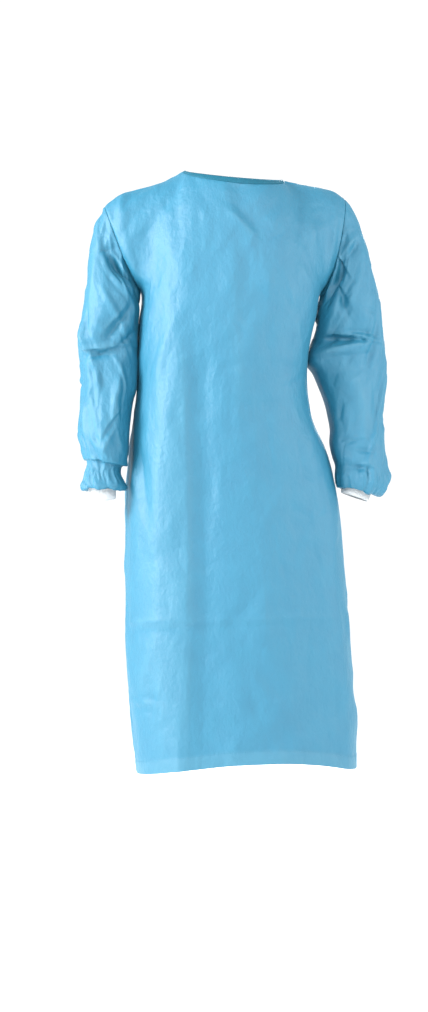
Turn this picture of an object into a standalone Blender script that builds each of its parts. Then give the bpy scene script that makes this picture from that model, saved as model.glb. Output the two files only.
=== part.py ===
"""A surgical gown in its worn, hollow form: front, lapped backs, sleeves, knit cuffs, binding and ties.

Metres, +Z up. The gown faces -Y, the wearer's left is +X, and the origin is the middle of the neck opening.
"""

from math import cos, pi, radians, sin

import bmesh
import bpy
import numpy as np

RIGHT, LEFT = -1, 1  # the wearer's sides: right lies at -X
FRONT, BACK = -1, 1

CLOTH = 0.0012  # wall of the body and the sleeves
KNIT = 0.0018  # wall of the cuffs
TAPE = 0.0010  # wall of the binding and the ties
SEAM_GAP = 0.0003

UNDERARM_HEIGHT = -0.216
SEAM_DEPTH = 0.004  # Y of the side seams
NECK_RUN = 0.38  # share of each half of a panel's columns that ends at the neck
LAP_RUN = 0.28  # how far each back panel runs past the centre, in the same share
HALF_RUNS = (0.0, 0.07, 0.14, 0.21, LAP_RUN, NECK_RUN, 0.48, 0.58, 0.68, 0.78, 0.88, 0.95, 1.0)
BODY_ROWS = 15  # rows of faces between the hem and the underarm
YOKE_ROWS = 12  # rows of faces between the underarm and the shoulder
YOKE_EDGE = 0.049  # share of the yoke in its last row of faces, which the binding covers at the neck
FRONT_SQUARENESS = 2.55
BACK_SQUARENESS = 2.3

# The body's outline at each height: its side seams, and its furthest points to the front and the back.
BODY_COLUMNS = ("height", "right", "left", "front", "back")
BODY = (
    (-1.140, -0.180, 0.236, -0.152, 0.156),
    (-1.068, -0.190, 0.234, -0.150, 0.154),
    (-0.992, -0.197, 0.231, -0.148, 0.151),
    (-0.897, -0.201, 0.224, -0.145, 0.148),
    (-0.802, -0.203, 0.217, -0.142, 0.144),
    (-0.707, -0.203, 0.209, -0.138, 0.138),
    (-0.612, -0.203, 0.199, -0.134, 0.129),
    (-0.555, -0.199, 0.188, -0.132, 0.122),
    (-0.517, -0.195, 0.176, -0.131, 0.116),
    (-0.481, -0.192, 0.160, -0.130, 0.110),
    (-0.452, -0.188, 0.147, -0.129, 0.107),
    (-0.422, -0.184, 0.142, -0.129, 0.106),
    (-0.370, -0.181, 0.138, -0.130, 0.109),
    (-0.308, -0.180, 0.148, -0.131, 0.116),
    (-0.262, -0.177, 0.158, -0.129, 0.120),
    (-0.216, -0.175, 0.167, -0.126, 0.121),
    (-0.170, -0.173, 0.173, -0.120, 0.121),
)

# The hem's height along each face of the body, from the right side seam (-1) to the left one (1).
HEM_COLUMNS = ("run", "front", "back")
HEM = (
    (-1.0, -1.128, -1.128),
    (-0.6, -1.1175, -1.133),
    (-0.3, -1.1070, -1.130),
    (0.1, -1.0965, -1.124),
    (0.35, -1.1030, -1.120),
    (0.65, -1.1150, -1.114),
    (0.85, -1.1155, -1.110),
    (1.0, -1.1066, -1.1066),
)

# Soft upright folds of the body: where each lies, how wide it is in runs, where it starts and ends, and how
# far it stands out (or in, where the figure is negative).
FOLD_COLUMNS = ("face", "run", "half_width", "top", "bottom", "rise")
FOLDS = (
    (FRONT, -0.42, 0.13, -0.290, -1.300, 0.0045),
    (FRONT, -0.17, 0.09, -0.330, -1.300, -0.0045),
    (FRONT, 0.04, 0.09, -0.240, -1.300, 0.0030),
    (FRONT, 0.33, 0.12, -0.560, -1.300, -0.0040),
    (FRONT, 0.58, 0.12, -0.600, -1.300, 0.0050),
    (BACK, -0.78, 0.09, -0.470, -1.300, 0.0080),
    (BACK, -0.58, 0.09, -0.440, -1.300, -0.0110),
    (BACK, -0.40, 0.09, -0.430, -1.300, 0.0120),
    (BACK, -0.20, 0.08, -0.430, -1.300, -0.0080),
    (BACK, 0.02, 0.09, -0.440, -1.300, 0.0100),
    (BACK, 0.25, 0.09, -0.430, -1.300, -0.0110),
    (BACK, 0.46, 0.09, -0.430, -1.300, 0.0130),
    (BACK, 0.68, 0.09, -0.450, -1.300, -0.0090),
    (BACK, 0.30, 0.08, -0.180, -0.400, -0.0060),
    (BACK, 0.08, 0.08, -0.160, -0.400, 0.0050),
    (BACK, -0.22, 0.08, -0.180, -0.400, -0.0060),
    (BACK, -0.50, 0.09, -0.200, -0.400, 0.0050),
)
FOLD_FADE = 0.16

# The shoulder seams, from the neck (0) to the sleeve (1).
SHOULDER_COLUMNS = ("run", "x", "y", "z")
SHOULDERS = {
    RIGHT: (
        (0.00, -0.093, -0.005, 0.011),
        (0.28, -0.135, -0.003, -0.0110),
        (0.64, -0.190, 0.002, -0.0265),
        (0.79, -0.213, 0.004, -0.0340),
        (0.90, -0.230, 0.006, -0.0450),
        (1.00, -0.244, 0.008, -0.058),
    ),
    LEFT: (
        (0.00, 0.093, -0.005, -0.0035),
        (0.40, 0.146, -0.002, -0.0140),
        (0.72, 0.182, 0.002, -0.0198),
        (0.89, 0.201, 0.004, -0.0265),
        (1.00, 0.2155, 0.006, -0.0370),
    ),
}
NECK_FRONT_DEPTH = 0.075
NECK_FRONT_DROP = 0.017
NECK_BACK_DEPTH = 0.067
NECK_BACK_RISE = 0.008

# How the yoke leaves the underarm level and arrives at the shoulder, from the centre (0) to the armhole (1):
# lengths of the two tangents, and the arriving direction across (towards the centre), inward (towards the
# shoulder seam) and up.
YOKE_COLUMNS = ("run", "start_length", "end_length", "across", "inward", "up")
YOKE = {
    FRONT: (
        (0.00, 0.200, 0.190, 0.00, 0.40, 0.92),
        (0.07, 0.200, 0.188, 0.15, 0.44, 0.88),
        (0.14, 0.200, 0.186, 0.30, 0.52, 0.80),
        (0.21, 0.200, 0.184, 0.47, 0.58, 0.66),
        (0.28, 0.205, 0.182, 0.64, 0.62, 0.45),
        (0.38, 0.220, 0.190, 0.52, 0.80, 0.28),
        (0.48, 0.235, 0.170, 0.22, 0.94, 0.20),
        (0.60, 0.245, 0.160, 0.05, 0.99, 0.16),
        (0.80, 0.240, 0.150, 0.00, 0.99, 0.14),
        (1.00, 0.190, 0.150, 0.00, 0.97, 0.24),
    ),
    BACK: (
        (0.00, 0.210, 0.190, 0.00, 0.34, 0.94),
        (0.07, 0.210, 0.188, 0.14, 0.38, 0.91),
        (0.14, 0.210, 0.186, 0.30, 0.48, 0.82),
        (0.21, 0.210, 0.184, 0.46, 0.58, 0.66),
        (0.28, 0.220, 0.182, 0.62, 0.66, 0.42),
        (0.38, 0.230, 0.190, 0.52, 0.82, 0.22),
        (0.48, 0.240, 0.175, 0.22, 0.95, 0.18),
        (0.60, 0.250, 0.170, 0.05, 0.99, 0.16),
        (0.80, 0.240, 0.160, 0.00, 0.99, 0.14),
        (1.00, 0.190, 0.150, 0.00, 0.97, 0.24),
    ),
}
ARMHOLE_START = (0.50, 0.70, 0.52)  # outward, to the face, up
ARMHOLE_BLEND = 0.70
RISE_STEP = 0.004  # how far above and below the underarm level the body's own slope is measured

# The lapped backs: how deep the under one lies at the neck and below it.
UNDERLAP_AT_NECK = 0.0048
UNDERLAP_BELOW = 0.0026
UNDERLAP_CHANGE = (-0.12, 0.0)  # heights between which the one depth turns into the other

# Sleeve sections, each a ring: its middle, its half width and half depth, and how far it tilts, in degrees,
# its inner side down.
SLEEVE_POINTS = 24
SLEEVE_SQUARENESS = 2.35
SLEEVE_COLUMNS = ("x", "y", "height", "half_width", "half_depth", "tilt")
SLEEVES = {
    RIGHT: (
        (-0.2308, 0.009, -0.262, 0.0562, 0.062, 0.0),
        (-0.2336, 0.010, -0.286, 0.0586, 0.063, 0.0),
        (-0.2354, 0.011, -0.310, 0.0594, 0.064, 0.0),
        (-0.2350, 0.011, -0.334, 0.0586, 0.063, 0.0),
        (-0.2340, 0.009, -0.358, 0.0570, 0.061, 0.0),
        (-0.2343, 0.006, -0.381, 0.0563, 0.060, 0.0),
        (-0.2358, 0.001, -0.404, 0.0544, 0.058, 0.0),
        (-0.2403, -0.004, -0.427, 0.0500, 0.057, 0.0),
        (-0.2425, -0.009, -0.450, 0.0485, 0.056, 0.0),
        (-0.2438, -0.015, -0.473, 0.0468, 0.053, 0.0),
        (-0.2440, -0.022, -0.497, 0.0450, 0.050, 2.0),
        (-0.2430, -0.028, -0.519, 0.0430, 0.047, 5.0),
    ),
    LEFT: (
        (0.2212, 0.006, -0.262, 0.0632, 0.062, 0.0),
        (0.2227, 0.008, -0.286, 0.0658, 0.063, 0.0),
        (0.2218, 0.009, -0.308, 0.0694, 0.064, 0.0),
        (0.2174, 0.010, -0.328, 0.0753, 0.065, 0.0),
        (0.2165, 0.009, -0.348, 0.0775, 0.064, 0.0),
        (0.2238, 0.006, -0.370, 0.0700, 0.062, 0.0),
        (0.2284, 0.001, -0.396, 0.0635, 0.060, 0.0),
        (0.2318, -0.004, -0.422, 0.0575, 0.058, 0.0),
        (0.2340, -0.010, -0.450, 0.0535, 0.056, 0.0),
        (0.2352, -0.018, -0.478, 0.0512, 0.054, 0.0),
        (0.2340, -0.026, -0.505, 0.0520, 0.052, 0.0),
        (0.2365, -0.033, -0.530, 0.0502, 0.051, 0.0),
    ),
}
CAP_ROWS = 6  # rows of faces between the armhole and the first section
CAP_LEAVING_OUT = (0.25, 0.60)  # how far out the cap's rows leave the armhole, at its underarm and its top
CAP_LEAVING_DOWN = (-1.0, -0.80)
CAP_LEAVING_TO_FACE = 0.10
CAP_LEAVING_LENGTH = 0.9  # in shares of the way to the first section
SLEEVE_CLEARANCE = 0.0026  # between a sleeve and the side of the body that it lies along
CLEARANCE_FADE = 0.04  # how far below the underarm the clearance reaches its full size

# The sleeves' largest folds: how far round each lies (0 outer, 90 front, 180 inner), its height, how its line
# slants up towards the inner side, half its length and width, and how far it stands out (in, if negative).
CREASE_COLUMNS = ("turn", "height", "slant", "half_length", "half_width", "rise")
CREASES = {
    RIGHT: (
        (107, -0.179, -40, 0.040, 0.011, -0.011),
        (148, -0.258, 90, 0.038, 0.012, -0.010),
        (100, -0.280, 56, 0.035, 0.010, -0.006),
        (44, -0.302, 0, 0.028, 0.022, 0.005),
        (125, -0.311, 35, 0.026, 0.010, -0.005),
        (60, -0.338, 0, 0.040, 0.010, -0.005),
        (102, -0.425, 85, 0.055, 0.011, 0.005),
        (68, -0.400, 90, 0.050, 0.013, -0.004),
        (90, -0.500, 60, 0.030, 0.010, 0.004),
        (215, -0.300, 20, 0.045, 0.012, -0.008),
        (240, -0.336, -25, 0.040, 0.012, -0.006),
        (285, -0.240, 40, 0.050, 0.013, -0.006),
        (262, -0.430, 80, 0.060, 0.012, 0.005),
    ),
    LEFT: (
        (112, -0.098, 80, 0.030, 0.011, -0.008),
        (85, -0.125, -35, 0.032, 0.010, 0.004),
        (121, -0.191, -45, 0.022, 0.010, -0.006),
        (103, -0.241, 75, 0.028, 0.010, -0.005),
        (72, -0.293, 0, 0.028, 0.010, -0.006),
        (122, -0.307, 0, 0.036, 0.010, -0.008),
        (104, -0.326, -16, 0.050, 0.011, 0.006),
        (85, -0.410, 90, 0.070, 0.014, 0.004),
        (119, -0.497, 0, 0.022, 0.010, -0.004),
        (215, -0.290, -20, 0.045, 0.012, -0.008),
        (245, -0.335, 25, 0.040, 0.012, -0.006),
        (290, -0.220, -40, 0.050, 0.013, -0.006),
        (255, -0.440, 80, 0.060, 0.012, 0.005),
    ),
}
SLEEVE_RADIUS = 0.060  # turns angles round a sleeve into distances

# The sleeves' gathered ends: the sleeves' columns, and how deep the gathers are.
ENDS = {
    RIGHT: (
        (-0.2430, -0.0300, -0.5320, 0.0420, 0.0465, 8.0, 0.0000),
        (-0.2425, -0.0310, -0.5425, 0.0405, 0.0450, 10.0, 0.0004),
        (-0.2440, -0.0320, -0.5430, 0.0345, 0.0385, 10.0, 0.0010),
        (-0.2465, -0.0340, -0.5510, 0.0310, 0.0350, 7.0, 0.0019),
        (-0.2490, -0.0358, -0.5630, 0.0338, 0.0362, 4.0, 0.0022),
        (-0.2475, -0.0355, -0.5760, 0.0400, 0.0415, 2.0, 0.0027),
        (-0.2470, -0.0355, -0.5870, 0.0452, 0.0455, 2.0, 0.0028),
        (-0.2478, -0.0360, -0.5935, 0.0415, 0.0425, 2.0, 0.0024),
        (-0.2495, -0.0370, -0.5915, 0.0345, 0.0360, 0.0, 0.0015),
        (-0.2509, -0.0385, -0.5840, 0.0290, 0.0312, -2.0, 0.0006),
    ),
    LEFT: (
        (0.2388, -0.0380, -0.5480, 0.0484, 0.0500, -1.0, 0.0003),
        (0.2384, -0.0400, -0.5620, 0.0488, 0.0500, -3.0, 0.0008),
        (0.2384, -0.0410, -0.5750, 0.0488, 0.0495, -5.0, 0.0014),
        (0.2372, -0.0420, -0.5870, 0.0465, 0.0465, -8.0, 0.0019),
        (0.2345, -0.0425, -0.5950, 0.0405, 0.0410, -11.0, 0.0020),
        (0.2325, -0.0430, -0.5925, 0.0352, 0.0365, -15.0, 0.0013),
        (0.2328, -0.0435, -0.5840, 0.0312, 0.0327, -18.0, 0.0005),
    ),
}
GATHERS = 12

# The cuffs: the middle of the visible mouth, the tube's outer half width and half depth, its tilt and length.
CUFF_COLUMNS = ("x", "y", "height", "half_width", "half_depth", "tilt", "length")
CUFFS = {
    RIGHT: (-0.2500, -0.0385, -0.6110, 0.0257, 0.0280, -2.0, 0.047),
    LEFT: (0.2255, -0.0435, -0.6060, 0.0280, 0.0295, -19.0, 0.048),
}
CUFF_SEAM_RISE = 0.010  # how far below its top edge each cuff meets the sleeve

BINDING_GAP = 0.0004  # between each leaf of the binding and the cloth
BINDING_BEND = 0.4  # where the binding starts to turn over the edge, in shares of its thickness
SHOULDER_BINDING_WIDTH = 0.0075

TIE_WIDTH = 0.028
TIE_HEIGHT = -0.429
TIE_LIFTS = {RIGHT: 0.0025, LEFT: 0.0016}  # how far each tie stands off the curved back
TIE_START_RUN = 0.80
KNOT_SIZE = (0.046, 0.015, 0.032)
KNOT_ROUND = 0.005
KNOT_CLEARANCE = 0.0001
TIE_END_LENGTHS = {RIGHT: 0.235, LEFT: 0.275}
TIE_END_WIDTH = 0.022
TIE_END_SPREAD = (0.0125, 0.038)
TIE_END_CLEARANCE = 0.0022
TIE_END_STATIONS = 10
TIE_END_SMOOTHINGS = 3

CLOTH_BLUE = (0.22, 0.56, 0.80, 1.0)
BINDING_BLUE = (0.03, 0.40, 0.60, 1.0)
KNIT_WHITE = (0.86, 0.87, 0.88, 1.0)


def named(columns, rows):
    """A table's columns as arrays, by name."""
    return dict(zip(columns, np.array(rows, float).T))


def curve(table, key, name, at):
    """A smooth curve through a table's rows: the column called name, where the column called key is at."""
    xs, ys = table[key], table[name]
    at = np.clip(at, xs[0], xs[-1])
    slopes = np.gradient(ys, xs)
    i = np.clip(np.searchsorted(xs, at) - 1, 0, len(xs) - 2)
    span = xs[i + 1] - xs[i]
    s = (at - xs[i]) / span
    return (
        ys[i] * (1 + 2 * s) * (1 - s) ** 2
        + ys[i + 1] * s * s * (3 - 2 * s)
        + span * s * (1 - s) * (slopes[i] * (1 - s) - slopes[i + 1] * s)
    )


def smoothstep(low, high, value):
    s = np.clip((value - low) / (high - low), 0, 1)
    return s * s * (3 - 2 * s)


def unit(vectors):
    return vectors / np.linalg.norm(vectors, axis=-1, keepdims=True)


def hermite(start, leaving, end, arriving, s):
    return (
        start * (1 + 2 * s) * (1 - s) ** 2
        + leaving * s * (1 - s) ** 2
        + end * s * s * (3 - 2 * s)
        - arriving * s * s * (1 - s)
    )


def fold_rise(face, run, height):
    """How far the upright folds push the cloth out at a place on the body."""
    rise = np.zeros(np.broadcast(run, height).shape)
    for row in FOLDS:
        fold = dict(zip(FOLD_COLUMNS, row))
        if fold["face"] != face:
            continue
        across = np.exp(-(((run - fold["run"]) / fold["half_width"]) ** 2))
        down = smoothstep(fold["top"] + FOLD_FADE / 2, fold["top"] - FOLD_FADE / 2, height)
        down = down * smoothstep(fold["bottom"] - FOLD_FADE / 2, fold["bottom"] + FOLD_FADE / 2, height)
        rise += fold["rise"] * across * down
    return rise


def body_point(face, run, height):
    """The body's outer surface below the yoke: run goes from the right side seam (-1) to the left one (1)."""
    run, height = np.broadcast_arrays(np.asarray(run, float), np.asarray(height, float))
    table = named(BODY_COLUMNS, BODY)
    right, left = (curve(table, "height", side, height) for side in ("right", "left"))
    furthest = curve(table, "height", "front" if face == FRONT else "back", height)
    power = 2 / (FRONT_SQUARENESS if face == FRONT else BACK_SQUARENESS)
    across = np.sign(run) * np.abs(np.sin(run * pi / 2)) ** power
    along = np.abs(np.cos(run * pi / 2)) ** power
    half_width, depth = (left - right) / 2, furthest - SEAM_DEPTH
    outward = unit(np.stack([across / half_width, along / depth], axis=-1))
    rise = fold_rise(face, run, height)
    return np.stack(
        [
            (left + right) / 2 + half_width * across + outward[..., 0] * rise,
            SEAM_DEPTH + depth * along + outward[..., 1] * rise,
            height,
        ],
        axis=-1,
    )


def top_edge(face, run):
    """The panel's top edge: half the neckline between the two shoulder seams."""
    points = np.zeros(run.shape + (3,))
    for side in (RIGHT, LEFT):
        table = named(SHOULDER_COLUMNS, SHOULDERS[side])
        on_seam = run * side >= NECK_RUN
        along = (run[on_seam] * side - NECK_RUN) / (1 - NECK_RUN)
        for axis, name in enumerate("xyz"):
            points[on_seam, axis] = curve(table, "run", name, along)
    ends = {side: np.array(SHOULDERS[side][0][1:]) for side in (RIGHT, LEFT)}
    on_neck = np.abs(run) < NECK_RUN
    turn = run[on_neck] / NECK_RUN * pi / 2
    across, along = np.sin(turn), np.cos(turn)
    if face == FRONT:
        depth, rise = -NECK_FRONT_DEPTH, -NECK_FRONT_DROP
    else:
        depth, rise = NECK_BACK_DEPTH, NECK_BACK_RISE
    middle, half = (ends[LEFT] + ends[RIGHT]) / 2, (ends[LEFT] - ends[RIGHT]) / 2
    points[on_neck] = middle + across[:, None] * half
    points[on_neck, 1] += depth * along
    points[on_neck, 2] += rise * along
    return points


def yoke(face, run):
    """Rows of the panel from the underarm level up to its top edge."""
    table = named(YOKE_COLUMNS, YOKE[face])
    size = np.abs(run)
    start = body_point(face, run, UNDERARM_HEIGHT)
    above, below = (body_point(face, run, UNDERARM_HEIGHT + step) for step in (RISE_STEP, -RISE_STEP))
    rising = unit(above - below)
    outward, to_face, up = ARMHOLE_START
    flat = np.ones_like(run)
    armhole = np.stack([np.sign(run) * outward, flat * face * to_face, flat * up], axis=-1)
    share = smoothstep(ARMHOLE_BLEND, 1, size)[:, None]
    leaving = unit(rising * (1 - share) + armhole * share)
    leaving = leaving * curve(table, "run", "start_length", size)[:, None]
    across, inward, rise = (curve(table, "run", name, size) for name in ("across", "inward", "up"))
    arriving = unit(np.stack([-np.sign(run) * across, -face * inward, rise], axis=-1))
    arriving = arriving * curve(table, "run", "end_length", size)[:, None]
    steps = np.append(np.linspace(0, 1 - YOKE_EDGE, YOKE_ROWS), 1)[:, None, None]
    return hermite(start, leaving, top_edge(face, run), arriving, steps)


def body_face(face):
    """The whole grid of one face of the body, hem row first, and its outward normals."""
    run = np.array([-r for r in reversed(HALF_RUNS[1:])] + list(HALF_RUNS))
    hem = curve(named(HEM_COLUMNS, HEM), "run", "front" if face == FRONT else "back", run)
    share = np.linspace(0, 1, BODY_ROWS + 1)[:-1, None]
    below = body_point(face, run[None, :], hem + (UNDERARM_HEIGHT - hem) * share)
    points = np.concatenate([below, yoke(face, run)])
    return run, points, grid_normals(points, face)


def grid_normals(points, sign, closed=False):
    """Unit normals of a grid of rows and columns, turned by sign."""
    if closed:
        around = np.roll(points, -1, axis=1) - np.roll(points, 1, axis=1)
    else:
        around = np.gradient(points, axis=1)
    along = np.gradient(points, axis=0)
    return sign * unit(np.cross(along, around))


def pulled_in(points, edge, amount=SEAM_GAP / 2):
    """A copy of the grid with one edge drawn in towards the next row or column."""
    points = points.copy()
    lines = points if edge in ("first_row", "last_row") else points.swapaxes(0, 1)
    at, near = (0, 1) if edge.startswith("first") else (-1, -2)
    lines[at] += unit(lines[near] - lines[at]) * amount
    return points


def joined(first, second):
    """Two walls' edge normals made the same, so that their rims face each other squarely."""
    mean = unit(first + second)
    first[...] = mean
    second[...] = mean


def mesh_object(name, vertices, faces, material):
    mesh = bpy.data.meshes.new(name)
    mesh.from_pydata([tuple(v) for v in vertices], [], faces)
    shell = bmesh.new()
    shell.from_mesh(mesh)
    bmesh.ops.recalc_face_normals(shell, faces=shell.faces)
    shell.to_mesh(mesh)
    shell.free()
    mesh.shade_smooth()
    mesh.set_sharp_from_angle(angle=radians(60))
    mesh.materials.append(material)
    item = bpy.data.objects.new(name, mesh)
    bpy.context.scene.collection.objects.link(item)
    return item


def strip_faces(first, second, closed, turn_at):
    """Triangles between two rows of vertex numbers: the diagonals change their way at one column.

    The second row may have twice as many points."""
    count = len(first)
    doubled = len(second) > count
    faces = []
    for i in range(count if closed else count - 1):
        a, b = first[i], first[(i + 1) % count]
        if doubled:
            c, d, e = (second[(2 * i + k) % len(second)] for k in range(3))
            faces += [(a, c, d), (a, d, b), (b, d, e)]
        elif i < turn_at:
            c, d = second[i], second[(i + 1) % count]
            faces += [(a, c, b), (b, c, d)]
        else:
            c, d = second[i], second[(i + 1) % count]
            faces += [(a, c, d), (a, d, b)]
    return faces


def wall(name, rows, normals, thickness, material, closed=False, turn_at=0):
    """A cloth wall: the rows are its outer face, and its inner face lies one thickness behind them."""
    outer = np.concatenate(rows)
    inner = outer - np.concatenate(normals) * thickness
    starts = np.cumsum([0] + [len(row) for row in rows])
    numbers = [list(range(starts[i], starts[i + 1])) for i in range(len(rows))]
    behind = [[n + len(outer) for n in row] for row in numbers]
    faces = []
    for skin in (numbers, behind):
        for first, second in zip(skin, skin[1:]):
            faces += strip_faces(first, second, closed, turn_at)
    for end in (0, -1):
        faces += strip_faces(numbers[end], behind[end], closed, 0)
    if not closed:
        for end in (0, -1):
            edge = [row[end] for row in numbers]
            faces += strip_faces(edge, [row[end] for row in behind], False, 0)
    return mesh_object(name, np.concatenate([outer, inner]), faces, material)


def section_ring(side, centre, half_width, half_depth, tilt, count, rise=0.0, squareness=2.0):
    """A tilted ring round a sleeve or a cuff, from its outer point over its front."""
    turn = np.linspace(0, 2 * pi, count, endpoint=False)
    across, along = (np.sign(f) * np.abs(f) ** (2 / squareness) for f in (np.cos(turn), np.sin(turn)))
    out = np.array([side * cos(radians(tilt)), 0, sin(radians(tilt))])
    forward = np.array([0.0, -1.0, 0.0])
    return (
        np.asarray(centre)
        + ((half_width + rise) * across)[:, None] * out
        + ((half_depth + rise) * along)[:, None] * forward
    )


def gather_wave(count, side):
    """Uneven gathers round a ring, from -1 to 1."""
    turn = np.linspace(0, 2 * pi, count, endpoint=False)
    drift = 0.45 * np.sin(2 * turn + side) + 0.25 * np.sin(5 * turn)
    depth = 0.8 + 0.2 * np.cos(3 * turn + 2 * side)
    return depth * np.cos(GATHERS * turn + drift)


def armhole(side, front, back):
    """The armhole's closed edge, shoulder first over the front, its way off the edge, the body's normals."""
    column = 0 if side == RIGHT else -1
    edges, normals = [], []
    for points, facing in (front, back):
        edges.append(points[BODY_ROWS:, column])
        normals.append(facing[BODY_ROWS:, column])
    ring = np.concatenate([edges[0][::-1], edges[1][1:-1]])
    facing = np.concatenate([normals[0][::-1], normals[1][1:-1]])
    tangent = unit(np.roll(ring, -1, axis=0) - np.roll(ring, 1, axis=0))
    off_edge = unit(np.cross(tangent, facing)) * -side
    return ring, off_edge, facing


def creased(side, ring):
    """A ring of the sleeve pushed out or in where the large folds cross it."""
    turn = np.linspace(0, 360, len(ring), endpoint=False)
    rise = np.zeros(len(ring))
    for row in CREASES[side]:
        crease = dict(zip(CREASE_COLUMNS, row))
        across = np.radians((turn - crease["turn"] + 180) % 360 - 180) * SLEEVE_RADIUS
        down = ring[:, 2] - crease["height"]
        slant = radians(crease["slant"])
        along = (across * cos(slant) + down * sin(slant)) / crease["half_length"]
        off = (down * cos(slant) - across * sin(slant)) / crease["half_width"]
        rise += crease["rise"] * np.exp(-(along**2) - off**2)
    outward = unit((ring - ring.mean(axis=0)) * (1, 1, 0))
    return ring + outward * rise[:, None]


def pressed(side, ring):
    """A ring of the sleeve that would cross the body's side, laid along it instead."""
    table = named(BODY_COLUMNS, BODY)
    right, left, front, back = (curve(table, "height", name, ring[:, 2]) for name in BODY_COLUMNS[1:])
    forward = ring[:, 1] < SEAM_DEPTH
    power = np.where(forward, FRONT_SQUARENESS, BACK_SQUARENESS)
    depth = np.where(forward, SEAM_DEPTH - front, back - SEAM_DEPTH)
    share = np.clip(np.abs(ring[:, 1] - SEAM_DEPTH) / depth, 0, 1)
    middle = (left + right) / 2
    reach = (left - right) / 2 * (1 - share**power) ** (1 / power)
    reach += SLEEVE_CLEARANCE * smoothstep(UNDERARM_HEIGHT, UNDERARM_HEIGHT - CLEARANCE_FADE, ring[:, 2])
    ring = ring.copy()
    below = ring[:, 2] < UNDERARM_HEIGHT
    ring[below, 0] = (middle + side * np.maximum(side * (ring[:, 0] - middle), reach))[below]
    return ring


def sleeve(side, front, back, material):
    ring, off_edge, facing = armhole(side, front, back)
    start = ring + SEAM_GAP * (off_edge + facing)
    turn = np.linspace(0, 2 * pi, SLEEVE_POINTS, endpoint=False)
    outer = (1 + np.cos(turn)) / 2
    out, down = (at_underarm + (at_top - at_underarm) * outer for at_underarm, at_top in
                 (CAP_LEAVING_OUT, CAP_LEAVING_DOWN))
    leaving = unit(np.stack([side * out, CAP_LEAVING_TO_FACE * np.sin(turn), down], axis=-1))
    rows = [
        section_ring(side, row[:3], *row[3:], SLEEVE_POINTS, squareness=SLEEVE_SQUARENESS)
        for row in SLEEVES[side]
    ]
    reach = np.linalg.norm(rows[0] - start, axis=1)[:, None]
    arriving = unit(rows[1] - rows[0]) * reach
    steps = np.linspace(0, 1, CAP_ROWS + 1)[:-1, None, None]
    cap = hermite(start, leaving * reach * CAP_LEAVING_LENGTH, rows[0], arriving, steps)
    rows = [start] + [pressed(side, creased(side, row)) for row in list(cap)[1:] + rows]
    wave = gather_wave(2 * SLEEVE_POINTS, side)
    for *shape, gather in ENDS[side]:
        rows.append(section_ring(side, shape[:3], *shape[3:], 2 * SLEEVE_POINTS, gather * wave))
    rows.append(cuff_ring(side, CUFF_SEAM_RISE, SEAM_GAP))
    normals = tube_normals(rows, side)
    normals[0] = facing
    return wall("sleeve_" + side_name(side), rows, normals, CLOTH, material, closed=True)


def tube_normals(rows, side):
    """Outward normals of a tube whose lower rows have twice the points of its upper ones."""
    most = max(len(row) for row in rows)
    full = []
    for row in rows:
        if len(row) < most:
            between = (row + np.roll(row, -1, axis=0)) / 2
            row = np.stack([row, between], axis=1).reshape(-1, 3)
        full.append(row)
    normals = grid_normals(np.array(full), -side, closed=True)
    return [normal[:: most // len(row)] for normal, row in zip(normals, rows)]


def cuff_ring(side, below_top, gap=0.0):
    """A ring round the cuff, some way below its top edge and a gap away from its outer face."""
    cuff = dict(zip(CUFF_COLUMNS, CUFFS[side]))
    tilt = radians(cuff["tilt"])
    up = np.array([-side * sin(tilt), 0, cos(tilt)])
    mouth = np.array([cuff["x"], cuff["y"], cuff["height"]])
    centre = mouth + up * (cuff["length"] - below_top)
    return section_ring(
        side, centre, cuff["half_width"] + gap, cuff["half_depth"] + gap, cuff["tilt"], 2 * SLEEVE_POINTS
    )


def cuff(side, material):
    length = dict(zip(CUFF_COLUMNS, CUFFS[side]))["length"]
    rows = [cuff_ring(side, below) for below in (0, length)]
    normals = list(grid_normals(np.array(rows), -side, closed=True))
    return wall("cuff_" + side_name(side), rows, normals, KNIT, material, closed=True)


def side_name(side):
    return "right" if side == RIGHT else "left"


def underlap(run, points, normals):
    """The under back panel: the shared back surface, sunk where the other panel laps over it."""
    sink = smoothstep(-NECK_RUN, -LAP_RUN, run)[None, :, None]
    neck = smoothstep(*UNDERLAP_CHANGE, points[:, :, 2])[:, :, None]
    depth = UNDERLAP_BELOW + (UNDERLAP_AT_NECK - UNDERLAP_BELOW) * neck
    return points - normals * depth * sink


def neck_columns(run, points, facing):
    """A panel's last two rows along the neck: the edge, the row below it, their normals, and the runs."""
    on_neck = np.abs(run) <= NECK_RUN + 1e-6
    return [rows[at, on_neck] for rows in (points, facing) for at in (-1, -2)] + [run[on_neck]]


def neck_point(side, front, back):
    """The binding's own column over a neck point, whose lower end lies on the shoulder seam."""
    at, further = (len(HALF_RUNS) - 1 + side * (HALF_RUNS.index(NECK_RUN) + k) for k in (0, 1))
    edge, facing = ((front[k][-1] + back[k][-1]) / 2 for k in (0, 1))
    share = SHOULDER_BINDING_WIDTH / np.linalg.norm(edge[further] - edge[at])
    ends = [rows[at] + (rows[further] - rows[at]) * part for rows in (edge, facing) for part in (0, share)]
    return [end[None] for end in ends] + [np.zeros(1)]


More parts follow.
